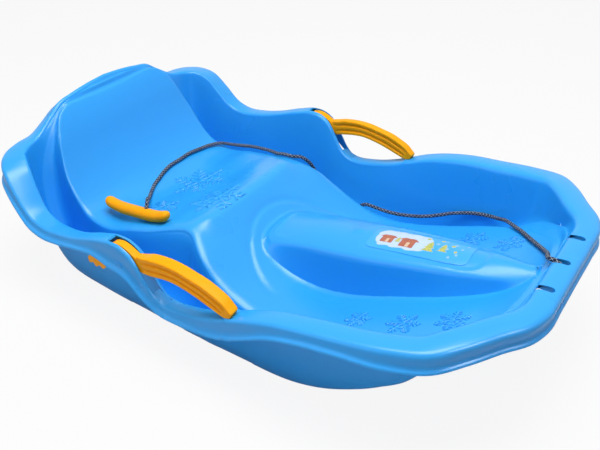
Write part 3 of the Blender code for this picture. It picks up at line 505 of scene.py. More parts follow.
# %% Lamps
def softbox(name, place, aim, width, height, power):
    """A rectangular area lamp at a place, pointed at another."""
    lamp = bpy.data.lights.new(name, "AREA")
    configured(lamp, shape="RECTANGLE", size=width, size_y=height, energy=power)
    made = bpy.data.objects.new(name, lamp)
    made.location = place
    made.rotation_euler = (Vector(aim) - Vector(place)).to_track_quat("-Z", "Y").to_euler()
    bpy.context.scene.collection.objects.link(made)
    return made


softbox("softbox_above", (0.15, -0.10, 1.60), (0.03, 0.0, 0.1), 1.10, 0.90, 27.0)
softbox("softbox_front", (-0.90, -2.00, 1.10), (0.0, 0.0, 0.1), 1.4, 0.9, 4.5)
gleam = softbox("softbox_bow", (1.58, -0.36, 1.42), (0.35, -0.15, 0.17), 0.60, 0.60, 15.0)
gleam.visible_diffuse = False
print("lamps", len(bpy.data.lights))

# %% [markdown]
# ## The hull's lines
# The tub is drawn like a boat. Forty sections run round one half of it, from the middle of the bow to the
# middle of the backrest. Each says where the rim, the bottom of the side channel and the shoulder of the
# raised seat are. Two more tables give the height of the seat and foot floor along the sled, and the size
# of the raised panel between the feet. They are the same lines as in the CAD model.

# %% Tables of the hull
# A row: rim x, y, z, land width, skirt height, land tilt, gutter x, y, z, body x, y, spine x
HULL_LINES = np.array([
    (0.3848, 0.0, 0.172, 0.0315, 0.0215, 0.0, 0.35, 0.0, 0.161, 0.3435, 0.0, 0.325),
    (0.3848, 0.058, 0.1718, 0.0315, 0.022, 0.0, 0.349, 0.055, 0.1592, 0.3425, 0.051, 0.318),
    (0.3838, 0.096, 0.1715, 0.032, 0.024, 0.0, 0.343, 0.089, 0.1535, 0.334, 0.083, 0.308),
    (0.376, 0.1215, 0.171, 0.033, 0.0245, 0.0, 0.329, 0.119, 0.1425, 0.319, 0.108, 0.295),
    (0.3545, 0.1525, 0.17, 0.034, 0.024, 0.0, 0.312, 0.141, 0.128, 0.301, 0.126, 0.278),
    (0.3305, 0.187, 0.1685, 0.0345, 0.024, 0.0, 0.29, 0.16, 0.109, 0.278, 0.138, 0.258),
    (0.3055, 0.2135, 0.165, 0.0345, 0.024, 0.0, 0.264, 0.172, 0.086, 0.254, 0.146, 0.236),
    (0.26, 0.2285, 0.158, 0.0335, 0.0225, 0.0, 0.232, 0.176, 0.06, 0.222, 0.15, 0.212),
    (0.208, 0.235, 0.15, 0.0325, 0.018, 0.0, 0.196, 0.178, 0.035, 0.188, 0.152, 0.182),
    (0.16, 0.239, 0.143, 0.0315, 0.017, 0.0, 0.156, 0.179, 0.016, 0.152, 0.154, 0.15),
    (0.122, 0.24, 0.134, 0.0305, 0.0195, 0.0, 0.12, 0.179, 0.006, 0.118, 0.156, 0.118),
    (0.088, 0.2405, 0.122, 0.029, 0.025, 0.0, 0.088, 0.179, 0.003, 0.088, 0.156, 0.088),
    (0.06, 0.2395, 0.109, 0.027, 0.027, 0.0, 0.06, 0.179, 0.003, 0.06, 0.156, 0.06),
    (0.035, 0.239, 0.098, 0.025, 0.0235, 0.0, 0.035, 0.179, 0.003, 0.035, 0.155, 0.035),
    (0.008, 0.2385, 0.089, 0.022, 0.019, 0.0, 0.008, 0.179, 0.003, 0.008, 0.155, 0.008),
    (-0.01, 0.2385, 0.085, 0.022, 0.016, 0.0, -0.01, 0.179, 0.003, -0.01, 0.1545, -0.01),
    (-0.025, 0.2385, 0.0825, 0.022, 0.014, 0.0, -0.025, 0.178, 0.003, -0.025, 0.153, -0.025),
    (-0.038, 0.2388, 0.0828, 0.022, 0.0135, 0.0, -0.038, 0.178, 0.003, -0.038, 0.1505, -0.038),
    (-0.048, 0.239, 0.086, 0.022, 0.014, 0.0, -0.048, 0.178, 0.003, -0.048, 0.148, -0.048),
    (-0.059, 0.2395, 0.097, 0.023, 0.019, 0.0, -0.059, 0.178, 0.003, -0.059, 0.144, -0.059),
    (-0.071, 0.24, 0.116, 0.024, 0.03, 0.0, -0.071, 0.178, 0.003, -0.071, 0.137, -0.071),
    (-0.085, 0.24, 0.137, 0.024, 0.038, 0.0, -0.085, 0.177, 0.003, -0.085, 0.128, -0.085),
    (-0.1, 0.24, 0.1465, 0.024, 0.038, 0.0, -0.1, 0.177, 0.003, -0.1, 0.125, -0.1),
    (-0.12, 0.24, 0.1485, 0.024, 0.036, 0.0, -0.12, 0.176, 0.003, -0.12, 0.129, -0.12),
    (-0.15, 0.2385, 0.141, 0.023, 0.023, 0.0, -0.15, 0.175, 0.003, -0.15, 0.137, -0.15),
    (-0.19, 0.237, 0.127, 0.021, 0.015, 0.0, -0.19, 0.173, 0.003, -0.19, 0.144, -0.19),
    (-0.227, 0.2355, 0.1185, 0.024, 0.014, 0.0, -0.225, 0.171, 0.003, -0.224, 0.148, -0.22),
    (-0.26, 0.235, 0.1165, 0.028, 0.014, 0.0, -0.253, 0.169, 0.003, -0.25, 0.1485, -0.24),
    (-0.286, 0.234, 0.126, 0.031, 0.015, 0.0, -0.274, 0.167, 0.005, -0.272, 0.1475, -0.252),
    (-0.308, 0.2315, 0.148, 0.034, 0.018, 0.0, -0.292, 0.165, 0.011, -0.289, 0.145, -0.261),
    (-0.328, 0.2265, 0.168, 0.036, 0.022, 0.0, -0.308, 0.163, 0.026, -0.303, 0.143, -0.268),
    (-0.35, 0.215, 0.178, 0.036, 0.026, 0.0, -0.323, 0.161, 0.056, -0.314, 0.14, -0.274),
    (-0.3665, 0.1955, 0.182, 0.032, 0.028, 0.0, -0.337, 0.156, 0.1, -0.324, 0.133, -0.28),
    (-0.3735, 0.169, 0.185, 0.0255, 0.029, 0.0, -0.3455, 0.146, 0.145, -0.334, 0.124, -0.285),
    (-0.3745, 0.143, 0.1875, 0.0215, 0.029, 0.002, -0.3495, 0.128, 0.178, -0.343, 0.113, -0.29),
    (-0.376, 0.118, 0.199, 0.019, 0.03, 0.006, -0.3535, 0.105, 0.203, -0.349, 0.099, -0.294),
    (-0.3785, 0.096, 0.2095, 0.0205, 0.03, 0.0105, -0.355, 0.088, 0.2175, -0.3515, 0.084, -0.298),
    (-0.38, 0.068, 0.2148, 0.0215, 0.03, 0.0115, -0.3555, 0.063, 0.2235, -0.3515, 0.061, -0.301),
    (-0.381, 0.035, 0.2196, 0.0225, 0.03, 0.0115, -0.355, 0.033, 0.2255, -0.351, 0.032, -0.303),
    (-0.3815, 0.0, 0.2223, 0.023, 0.03, 0.0115, -0.355, 0.0, 0.226, -0.351, 0.0, -0.304),
])
# How far the skirt's foot stands out from the rim, along X
LIP_REACH = [(-0.38, 0.0055), (-0.374, 0.0035), (-0.36, 0.0035), (-0.28, 0.0055), (0.25, 0.0055),
             (0.36, 0.0022)]
# Height of the seat and the foot floor along X: backrest, seat, thigh hump, heel valley, foot ramp
BODY_PROFILE = [
    (-0.368, 0.239), (-0.356, 0.227), (-0.344, 0.209), (-0.332, 0.183), (-0.322, 0.156),
    (-0.31, 0.13), (-0.296, 0.108), (-0.277, 0.089), (-0.25, 0.08), (-0.226, 0.08),
    (-0.19, 0.09), (-0.155, 0.0985), (-0.12, 0.1085), (-0.092, 0.112), (-0.06, 0.096),
    (-0.027, 0.073), (0.0, 0.058), (0.03, 0.047), (0.07, 0.042), (0.11, 0.047),
    (0.163, 0.064), (0.226, 0.088), (0.281, 0.11), (0.311, 0.124), (0.33, 0.1375), (0.346, 0.153),
]
# The raised panel: half width of its foot, width of its side and height, each along X
PANEL_FOOT = [(-0.06, 0.058), (0.08, 0.0575), (0.15, 0.056), (0.194, 0.052), (0.236, 0.048),
              (0.269, 0.042), (0.291, 0.036), (0.311, 0.029), (0.33, 0.023), (0.35, 0.02)]
PANEL_SIDE = [(-0.06, 0.012), (0.1, 0.011), (0.2, 0.01), (0.25, 0.01), (0.3, 0.006), (0.33, 0.003)]
PANEL_HEIGHT = [(-0.06, 0.086), (-0.02, 0.0905), (0.04, 0.1045), (0.104, 0.116), (0.18, 0.13),
                (0.25, 0.1415), (0.3, 0.148), (0.33, 0.151), (0.346, 0.154)]
print("sections", len(HULL_LINES))

# %% [markdown]
# ## One formula for the seat and floor
# The middle of the tub is a height for every place (x, y). It starts with the profile along the sled. Then
# things are added or taken away: the rise of the thigh hump, the scoop of the seat, the raised panel with
# its label recess, a round button, and the soft creases that stiffen a thin sheet.


# %% Height of the body's top
def rounded_corner(first, second, radius):
    """Distance inside two sides, with the corner between them rounded."""
    cut = np.hypot(np.maximum(radius - first, 0.0), np.maximum(radius - second, 0.0))
    return np.where((first < radius) & (second < radius), radius - cut, np.minimum(first, second))


def panel_distance(x, y):
    """How far a place lies inside the foot of the raised panel, negative outside it."""
    side = read(x, PANEL_FOOT) - np.abs(y)
    return np.minimum(rounded_corner(side, x + 0.038, 0.030), rounded_corner(side, 0.344 - x, 0.012))


def recess_distance(x, y):
    """How far a place lies inside the label recess: a long oblong with a round front."""
    side = np.minimum(0.0300, read(x, PANEL_FOOT) - read(x, PANEL_SIDE) - 0.006) - np.abs(y)
    ends = np.minimum(x - 0.117, 0.2835 - x - 0.35 * np.abs(y) ** 2 / 0.03)
    return rounded_corner(side, ends, 0.010)


def ridge_line(y):
    """X of the hump's ridge, which curves back towards the sides."""
    return -0.0775 - 0.016 * (y / 0.1225) ** 4


HUMP_HEIGHT = 0.005
SCOOP_DEPTH = 0.006
RIDGE_HEIGHT, RIDGE_WIDTH = 0.0052, 0.024
CREASE_DEPTH, CREASE_WIDTH = 0.0017, 0.034
PANEL_CROWN = 0.012
BEAD_HEIGHT, BEAD_WIDTH = 0.0013, 0.0022
RECESS_DEPTH, RECESS_EDGE = 0.0018, 0.0020
BUTTON_HEIGHT, BUTTON_RADIUS = 0.0030, 0.0095


def seat_height(x, y):
    """Height without the panel: the profile, plus hump and ridge, minus scoop and crease."""
    across = np.clip(1.0 - (y / 0.15) ** 2, 0.0, 1.0)
    base = read(x, BODY_PROFILE) + HUMP_HEIGHT * across * np.exp(-((x + 0.092) / 0.045) ** 2)
    reach = np.hypot(x + 0.190, y) / 0.105
    base = base - SCOOP_DEPTH * (1.0 - ease((reach - 0.2) / 0.8)) * (x > -0.30)

    # The ridge where the seat turns down towards the knees: a low tent, sharp only along its top
    away = np.sqrt((x - ridge_line(y)) ** 2 + 0.0014 ** 2)
    base = base + RIDGE_HEIGHT * np.clip(1.0 - away / RIDGE_WIDTH, 0.0, 1.0) * ease((0.118 - y) / 0.03)

    # The shallow crease that goes round the rear of the panel
    crease = np.hypot((x - 0.047) / 0.105, y / 0.108) - 1.0
    dent = CREASE_DEPTH * np.exp(-(crease / CREASE_WIDTH) ** 2) - 0.0012 * ease(-crease / 0.09)
    return base - ease((0.05 - x) / 0.05) * dent


def body_top(x, y):
    """Height of the seat and floor with the panel raised on it, its bead, recess and button."""
    y = np.abs(y)
    base = seat_height(x, y)
    slope = read(x, PANEL_SIDE)
    inside = panel_distance(x, y)
    top = np.maximum(read(x, PANEL_FOOT) - slope, 0.004)
    raised = read(x, PANEL_HEIGHT) - PANEL_CROWN * np.clip(y / top, 0.0, 1.0) ** 2
    height = base + np.maximum(raised - base, 0.0) * soft_step(inside / slope, 0.10)
    bead = np.exp(-((inside - 0.0205) / BEAD_WIDTH) ** 2) * ease((0.02 - x) / 0.03)
    height = height + BEAD_HEIGHT * bead - RECESS_DEPTH * ease(recess_distance(x, y) / RECESS_EDGE)
    button = np.clip(1.0 - (np.hypot(x - 0.1000, y) / BUTTON_RADIUS) ** 2, 0.0, 1.0)
    return height + BUTTON_HEIGHT * button


print("seat at the middle", round(float(body_top(np.array(-0.19), np.array(0.0))), 4))


# %% [markdown]
# ## The tub as one sheet
# Each section is a line across the sheet: up from the lip, over the round rim, down the wall into the
# channel, up to the shoulder and across the seat to the middle. Placing many sections side by side gives a
# grid. Mirroring it makes the whole tub, and Solidify then gives the sheet its 3 mm.


# %% Sections of the hull
RIM_ROUND = 0.0045
WALL = 0.003
# Fillet along the shoulder of the body, by X: how far it reaches in, and how deep it drops
FILLET_REACH = [(-0.3, 0.006), (-0.22, 0.012), (-0.08, 0.015), (0.05, 0.013), (0.2, 0.01), (0.33, 0.004)]
FILLET_DROP = [(-0.3, 0.0045), (-0.22, 0.006), (-0.08, 0.0065), (0.05, 0.006), (0.2, 0.0045), (0.33, 0.001)]


def rim_lines(spacing):
    """The table's rows read close together on the cubic curve through them, closest at the levers."""
    chord = run_along(HULL_LINES[:, :2])
    apart = np.where(np.abs(HULL_LINES[:-1, 0] + 0.025) < 0.1, 0.5 * spacing, spacing)
    pieces = [np.linspace(a, b, int(np.ceil((b - a) / step)), endpoint=False)
              for a, b, step in zip(chord[:-1], chord[1:], apart)]
    wanted = np.concatenate(pieces + [chord[-1:]])
    return through(wanted, chord, HULL_LINES)


def outward(line):
    """Plan normals of the rim that point away from the sled."""
    along = np.gradient(line, run_along(line), axis=0)
    normal = unit(np.stack([along[:, 1], -along[:, 0]], axis=1))
    normal[0] = (1.0, 0.0)
    normal[-1] = (-1.0, 0.0)
    return normal


def finer(rows, pieces):
    """More rows between the given ones, on the cubic curve through each column by its own length."""
    rows = np.stack(rows)
    step = np.maximum(np.linalg.norm(np.diff(rows, axis=0), axis=2), 1e-6)
    ratio = (step[1:] / (step[:-1] + step[1:]))[..., None]
    slope = np.empty_like(rows)
    rise = np.diff(rows, axis=0) / step[..., None]
    slope[1:-1] = rise[:-1] * ratio + rise[1:] * (1.0 - ratio)
    slope[0] = rise[0]
    slope[-1] = rise[-1]
    made = []
    for index, count in enumerate(pieces):
        t = np.linspace(0.0, 1.0, count, endpoint=False)[:, None, None]
        length = step[index][None, :, None]
        made.append(cubic(t, rows[index], rows[index + 1], length * slope[index], length * slope[index + 1]))
    return np.concatenate(made + [rows[-1:]])


def first_share(start, end, inset, otherwise):
    """Share of the way from start to end where the panel is first entered by the inset."""
    steps = np.linspace(0.0, 0.985, 600)
    x = start[:, :1] + (end[:, :1] - start[:, :1]) * steps
    y = start[:, 1:2] + (end[:, 1:2] - start[:, 1:2]) * steps
    inside = panel_distance(x, y) >= np.reshape(inset, (-1, 1))
    return np.where(inside.any(axis=1), steps[np.argmax(inside, axis=1)], otherwise)


# %% Rows over the rim
def rim_rows(lines):
    """Rows from the lip up the skirt, over the rounded rim and to the wall, and the pieces after each."""
    rim, land, skirt, tilt = lines[:, :2], lines[:, 3], lines[:, 4], lines[:, 5]
    normal = outward(rim)
    level = lines[:, 2] + 0.0013 * np.exp(-((rim[:, 0] - 0.0595) / 0.0038) ** 4)

    def ring(out, up):
        """The rim's line moved outwards and up."""
        return np.column_stack([rim + normal * np.reshape(out + np.zeros(len(lines)), (-1, 1)), level + up])

    inner_round = np.interp(rim[:, 0], (0.06, 0.24), (RIM_ROUND, 0.0085))
    outer_round = np.interp(rim[:, 0], (0.06, 0.24), (RIM_ROUND, 0.0070))
    reach = np.interp(rim[:, 0], *zip(*LIP_REACH))
    flat = land - outer_round - inner_round
    rows = [ring(reach, -skirt), ring(reach - 0.0006, 0.0022 - skirt), ring(reach - 0.0029, 0.0042 - skirt)]
    angles = np.radians([0.0, 22.5, 45.0, 67.5, 90.0])
    quarter = [(1 - math.cos(angle), 1 - math.sin(angle)) for angle in angles]
    rows += [ring(-outer_round * out, -outer_round * down) for out, down in quarter]
    rows += [ring(-outer_round - flat * part, tilt * part + 0.0024 * part * (1 - part))
             for part in (0.25, 0.5, 0.75)]
    rows += [ring(-land + inner_round * out, tilt - inner_round * down) for out, down in quarter[::-1]]
    return rows, [3, 3, 4] + 12 * [1] + [3]


# %% Rows through the channel
def channel_rows(lines, wall_top):
    """Rows down the wall, through the channel and up to the shoulder, and the pieces after each."""
    gutter, body = lines[:, 6:9], lines[:, 9:11]
    shoulder = np.column_stack([body, body_top(body[:, 0], body[:, 1])])
    across = unit(shoulder[:, :2] - wall_top[:, :2])
    flat = np.minimum(0.009, 0.3 * np.linalg.norm(gutter[:, :2] - wall_top[:, :2], axis=1))[:, None]
    shoulder[:, 2] -= read(body[:, 0], FILLET_DROP)
    drop = np.maximum(gutter[:, 2] - shoulder[:, 2], 0.0)
    outer = np.column_stack([gutter[:, :2] - across * flat, gutter[:, 2]])
    flat = np.minimum(flat, 0.45 * np.linalg.norm(shoulder[:, :2] - gutter[:, :2], axis=1)[:, None])
    inner = np.column_stack([gutter[:, :2] + across * flat, gutter[:, 2] - 0.75 * drop])
    gutter = np.column_stack([gutter[:, :2], gutter[:, 2] - 0.45 * drop])
    rows = [wall_top + (outer - wall_top) * np.array([out, out, down])
            for out, down in ((0.20, 0.30), (0.42, 0.62), (0.68, 0.88))]
    rows += [outer, gutter, inner]
    channel = np.clip((shoulder[:, 2] - inner[:, 2] + 0.004) / 0.012, 0.0, 1.0)
    for out, up in ((0.30, 0.12), (0.55, 0.42), (0.80, 0.80), (0.94, 0.96)):
        point = inner + (shoulder - inner) * out
        point[:, 2] = inner[:, 2] + (shoulder[:, 2] - inner[:, 2]) * (out + (up - out) * channel)
        rows.append(point)
    return rows + [shoulder], 3 * [3] + 7 * [2]


# %% Rows across the seat and floor
def middle_rows(body, spine):
    """Rows from the shoulder to the middle, closer together at the fillet and on the panel's side."""
    foot = first_share(body, spine, np.zeros(len(body)), np.nan)
    known = np.flatnonzero(~np.isnan(foot))
    foot = np.interp(np.arange(len(foot)), known, foot[known])
    top = np.maximum(first_share(body, spine, read(spine[:, 0], PANEL_SIDE), 0.0), foot + 0.02)
    across = np.linalg.norm(spine - body, axis=1)
    fillet = read(body[:, 0], FILLET_REACH)
    shares = [fillet * step / across for step in (0.02, 0.08, 0.20, 0.40, 0.68, 1.0)]
    edge = shares[-1]
    shares += [edge + (foot - edge) * step for step in np.linspace(0.0, 1.0, 20)[1:]]
    shares += [foot + (top - foot) * step for step in np.linspace(0.0, 1.0, 7)[1:]]
    shares += [top + (1.0 - top) * step for step in np.linspace(0.0, 1.0, 13)[1:] ** 1.2]
    plan = body + (spine - body) * np.stack(shares)[..., None]
    away = np.clip(1.0 - np.linalg.norm(plan - body, axis=-1) / fillet, 0.0, 1.0)
    rounded = read(body[:, 0], FILLET_DROP) * (1.0 - np.sqrt(1.0 - away ** 2))
    return np.concatenate([plan, (body_top(plan[..., 0], plan[..., 1]) - rounded)[..., None]], axis=-1)


# %% The whole sheet
def half_hull(spacing):
    """Rows from the lip over the rim and through the channel to the middle of one half."""
    lines = rim_lines(spacing)
    spine = np.stack([lines[:, 11], np.zeros(len(lines))], axis=1)
    over, over_pieces = rim_rows(lines)
    down, down_pieces = channel_rows(lines, over[-1])
    sides = finer(over + down, over_pieces + down_pieces)
    grid = np.concatenate([sides, middle_rows(lines[:, 9:11], spine)])
    grid[:, [0, -1], 1] = 0.0
    grid[-1, :, 1] = 0.0
    return grid


SECTION_SPACING = 0.0054
half = half_hull(SECTION_SPACING)
grid = np.concatenate([half, (half[:-1] * np.array([1.0, -1.0, 1.0]))[::-1]])
print("half a hull:", half.shape[0], "rows by", half.shape[1], "sections")

# %% From sheet to shell
hull = object_of("hull_shell", grid, quads_of(*grid.shape[:2]))
settle(hull, merge=0.00002)
face_up(hull)
modifier(hull, "SOLIDIFY", thickness=WALL, offset=-1.0, use_even_offset=True, thickness_clamp=1.0)
settle(hull)
sheet, inner_side = np.split(places_of(hull), 2)
depth = inner_side - sheet
length = np.linalg.norm(depth, axis=1, keepdims=True)
inner_side = sheet + depth * np.minimum(1.0, 1.35 * WALL / length)
hull.data.vertices.foreach_set("co", np.concatenate([sheet, inner_side]).ravel())
print("shell", triangles(hull), "triangles, thickest", round(float(length.max()), 4))

# %% [markdown]
# ## Slots
# A slot in each side of the rim lets its brake lever swing, and three small round-ended slots in the bow
# take the cord. Booleans cut them, all in one go, through the finished sheet.

# %% Cut the slots
PIVOT_X = -0.108
PIVOT_Z = 0.118
LEVER_Y = 0.229
SLOT_HALF = 0.007
BOW_SLOTS = ((0.0, 0.3745), (0.058, 0.3750), (-0.058, 0.3750))
BOW_SLOT_WIDTH = 0.009


def prism(name, outline, low, high, along):
    """A closed outline carried along Y or Z from low to high."""
    first, second = np.transpose(outline)
    ends = []
    for level in (low, high):
        flat = np.full(len(first), level)
        ends.append(np.column_stack([first, flat, second] if along == "Y" else [first, second, flat]))
    return settle(object_of(name, np.concatenate(ends), capped(2, len(first))), merge=1e-6)


def sector(start, end, inner, outer):
    """A ring sector about the lever's pivot, in X and Z."""
    angle = np.radians(np.linspace(start, end, 40))
    ring = np.column_stack([np.cos(angle), np.sin(angle)])
    return np.concatenate([ring * outer, ring[::-1] * inner]) + (PIVOT_X, PIVOT_Z)


def round_end(y, end_x, width, start):
    """A slot in plan that comes in from behind and ends in a half circle."""
    angle = np.linspace(-0.5 * np.pi, 0.5 * np.pi, 17)
    nose = np.column_stack([end_x - width / 2 + width / 2 * np.cos(angle), y + width / 2 * np.sin(angle)])
    return np.concatenate([[(start, y - width / 2)], nose, [(start, y + width / 2)]])


cutters = [prism("slot_side", sector(-28.0, 122.0, 0.016, 0.078), sign * LEVER_Y - SLOT_HALF,
                 sign * LEVER_Y + SLOT_HALF, "Y") for sign in (-1.0, 1.0)]
cutters += [prism("slot_bow", round_end(y, end_x, BOW_SLOT_WIDTH, 0.3425), 0.1605, 0.190, "Z")
            for y, end_x in BOW_SLOTS]
cut_out(hull, join(*cutters))
low, high = np.array(CAD_BOX, np.float32)
hull.data.vertices.foreach_set("co", np.clip(places_of(hull), low, high).ravel())
print("hull", triangles(hull), "triangles")

# %% Collars under the bow slots
COLLAR_WALL = 0.0015
COLLAR_START = 0.3560
collars = []
for y, end_x in BOW_SLOTS:
    outside = round_end(y, end_x + COLLAR_WALL, BOW_SLOT_WIDTH + 2.0 * COLLAR_WALL, COLLAR_START)
    inside = round_end(y, end_x, BOW_SLOT_WIDTH, COLLAR_START)
    collars.append(prism("collar", np.concatenate([outside, inside[::-1]]), 0.1652, 0.1700, "Z"))
join(hull, *collars)
print("collars", len(collars))


# %% Bosses for the hinge pins
BOSS_RADIUS = 0.0065
BOSS_EDGE = 0.0006


def boss(low, high):
    """A round boss about the lever's pivot, along Y, with slightly rounded ends."""
    profile = np.array([(0.0, low), (BOSS_RADIUS - BOSS_EDGE, low), (BOSS_RADIUS, low + BOSS_EDGE),
                        (BOSS_RADIUS, high - BOSS_EDGE), (BOSS_RADIUS - BOSS_EDGE, high), (0.0, high)])
    angle = circle(40)
    points = np.stack([PIVOT_X + profile[:, :1] * np.cos(angle), profile[:, 1:] + 0.0 * angle,
                       PIVOT_Z + profile[:, :1] * np.sin(angle)], axis=-1)
    return settle(object_of("boss", points, quads_of(len(profile), 40, round_columns=True)), merge=1e-6)


bosses = [boss(*sorted((sign * start, sign * end)))
          for sign in (-1.0, 1.0) for start, end in ((0.2145, 0.2225), (0.2355, 0.2410))]
join(hull, *bosses)
hull.data.set_sharp_from_angle(angle=math.radians(38.0))
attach(hull, "sled")
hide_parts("hull")
print("bosses", len(bosses))

# %% [markdown]
# ## Raised snowflakes
# Six-armed flakes stand a little proud of the seat and the foot rests, so that boots and trousers grip.
# One arm folded over six times gives the whole ornament: the angle round the centre is folded into a
# twelfth of a turn, and the distance to a few straight strokes there decides the height.


# %% Flakes
def stroke_distance(px, py, start, end):
    """Distance from points to a straight stroke."""
    way = np.array(end) - np.array(start)
    share = np.clip(((px - start[0]) * way[0] + (py - start[1]) * way[1]) / (way @ way), 0.0, 1.0)
    return np.hypot(px - start[0] - share * way[0], py - start[1] - share * way[1])


def flake_distance(u, v, radius, turn):
    """Distance to the strokes of a six-armed flake."""
    reach = np.hypot(u, v)
    angle = np.arctan2(v, u) - turn
    angle = np.abs((angle + np.pi / 6) % (np.pi / 3) - np.pi / 6)
    px, py = reach * np.cos(angle), reach * np.sin(angle)
    nearest = stroke_distance(px, py, (0.0, 0.0), (radius, 0.0))
    for place, size in ((0.34, 0.24), (0.58, 0.27), (0.80, 0.18)):
        start = (place * radius, 0.0)
        end = ((place + size * 0.5) * radius, size * 0.866 * radius)
        nearest = np.minimum(nearest, stroke_distance(px, py, start, end))
    return nearest


FLAKE_HEIGHT = 0.0016
FLAKE_SINK = 0.0009


def flake(centre, radius, turn, stroke, spacing, keep=None):
    """A closed relief: the body's height plus a rounded ridge on each stroke, and a floor in the wall."""
    count = int(2.2 * radius / spacing)
    line = np.linspace(-1.1 * radius, 1.1 * radius, count)
    v, u = np.meshgrid(line, line, indexing="ij")
    x, y = centre[0] + u, centre[1] + v
    away = flake_distance(u, v, radius, turn) / stroke
    rise = FLAKE_HEIGHT * (1.0 - away ** 2)
    if keep is not None:
        rise = np.where(keep(x, y), rise, -1.0)
    shown = rise > -FLAKE_SINK
    top = np.stack([x, y, body_top(x, y) + np.maximum(rise, -FLAKE_SINK)], axis=-1)
    quads = quads_of(count, count)
    quads = quads[shown.ravel()[quads].all(axis=1)]
    used, index = np.unique(quads, return_inverse=True)
    item = object_of("snowflake_relief", top.reshape(-1, 3)[used], index.reshape(-1, 4))
    face_up(item)
    modifier(item, "SOLIDIFY", thickness=0.0008, offset=-1.0)
    return settle(item)


FOOT_FLAKES = ((0.1625, 0.1050, 0.0165, 0.3), (0.2240, 0.1060, 0.0210, 0.1), (0.2790, 0.0925, 0.0200, 0.5))
flakes = [
    flake((-0.2040, 0.0240), 0.0430, 0.20, 0.0021, 0.0008),
    flake((-0.1130, -0.0370), 0.0430, 0.45, 0.0021, 0.0008, keep=lambda x, y: x < ridge_line(y) - 0.003),
    flake((-0.1960, -0.0760), 0.0310, 0.10, 0.0019, 0.0008),
]
flakes += [flake((x, sign * y), radius, turn, 0.0013, 0.0005)
           for sign in (-1.0, 1.0) for x, y, radius, turn in FOOT_FLAKES]
relief = join(*flakes)
relief.data.shade_smooth()
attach(relief, "sled")
print("flakes", len(flakes), "with", triangles(relief), "triangles")

# %% [markdown]
# ## Brake levers
# Each lever is one yellow moulding. Its grip is shaped like a steel beam, with a flange above and below,
# and two grooves with a rib between them along each side, which is stiff and saves plastic. Its top leans
# a little outwards. A flat plate carries the hub and the claw. The grip's section changes along its
# length, so it is a profile carried along a path.


# %% Grip
# Grip sections from the pivot: top x and z, bottom x and z, half width, groove depth
GRIP_SECTIONS = np.array([
    (0.0275, 0.0215, 0.0355, -0.0010, 0.0052, 0.0), (0.0400, 0.0245, 0.0450, 0.0020, 0.0070, 0.0016),
    (0.0510, 0.0280, 0.0540, 0.0040, 0.0074, 0.0026), (0.0720, 0.0310, 0.0710, 0.0075, 0.0074, 0.0026),
    (0.0940, 0.0310, 0.0880, 0.0090, 0.0074, 0.0026), (0.1140, 0.0280, 0.1060, 0.0070, 0.0074, 0.0026),
    (0.1350, 0.0240, 0.1230, 0.0035, 0.0074, 0.0026), (0.1500, 0.0185, 0.1390, -0.0010, 0.0074, 0.0026),
    (0.1630, 0.0125, 0.1530, -0.0055, 0.0073, 0.0022), (0.1705, 0.0060, 0.1610, -0.0080, 0.0071, 0.0),
    (0.1748, 0.0022, 0.1680, -0.0084, 0.0069, 0.0), (0.1760, 0.0005, 0.1730, -0.0066, 0.0064, 0.0),
])


# Half of the I-section down to its middle: share of the depth, and share of the groove
GROOVE_PROFILE = ((0.17, 0.0), (0.20, 0.10), (0.23, 0.55), (0.26, 0.95), (0.30, 1.0), (0.34, 0.95),
                  (0.37, 0.55), (0.40, 0.15), (0.43, 0.08), (0.50, 0.06))


def grip_points(count):
    """Rings of the grip: an I-section with rounded flanges, its depth and width read from the table."""
    last = len(GRIP_SECTIONS) - 1
    rows = through(np.linspace(0.0, last, count), np.arange(last + 1), GRIP_SECTIONS)
    top, low, half, groove = rows[:, :2], rows[:, 2:4], rows[:, 4], np.maximum(rows[:, 5], 0.0)
    height = np.linalg.norm(top - low, axis=1)
    down = (low - top) / height[:, None]
    edge = np.minimum(0.0012, 0.2 * height)
    outline = [(half - edge * (1 - math.cos(angle)), edge * (1 - math.sin(angle)))
               for angle in np.radians([90.0, 60.0, 30.0, 0.0])]
    outline += [(half - groove * part, place * height) for place, part in GROOVE_PROFILE]
    profile = outline + [(y, height - depth) for y, depth in outline[:-1][::-1]]
    profile = profile + [(-y, depth) for y, depth in profile[::-1]]
    y = np.stack([y for y, depth in profile], axis=1)
    depth = np.stack([depth for y, depth in profile], axis=1)
    place = top[:, None] + down[:, None] * depth[..., None]
    return np.stack([PIVOT_X + place[..., 0], y, PIVOT_Z + place[..., 1]], axis=-1)


rings = grip_points(90)
print("grip", rings.shape[0], "rings of", rings.shape[1], "points")

# %% Plate with hub and claw
PLATE_HALF = 0.0055
PLATE_OUTLINE = [
    (0.0425, 0.0165), (0.0300, 0.0180), (0.0225, 0.0215), (0.0150, 0.0255), (0.0075, 0.0285),
    (0.0000, 0.0296), (-0.0075, 0.0286), (-0.0135, 0.0262), (-0.0155, 0.0225), (-0.0220, 0.0170),
    (-0.0330, 0.0070), (-0.0480, -0.0035), (-0.0620, -0.0115), (-0.0655, -0.0165), (-0.0630, -0.0250),
    (-0.0560, -0.0200), (-0.0515, -0.0270), (-0.0445, -0.0205), (-0.0390, -0.0260), (-0.0310, -0.0175),
    (-0.0170, -0.0125), (-0.0080, -0.0110), (0.0000, -0.0105), (0.0100, -0.0095), (0.0220, -0.0060),
    (0.0360, 0.0015), (0.0440, 0.0055),
]


def corner_cut(points, rounds):
    """A closed outline with its corners cut a quarter of the way in, again and again."""
    points = np.asarray(points, float)
    for _ in range(rounds):
        after = np.roll(points, -1, axis=0)
        points = np.stack([0.8 * points + 0.2 * after, 0.2 * points + 0.8 * after], axis=1).reshape(-1, 2)
    return points


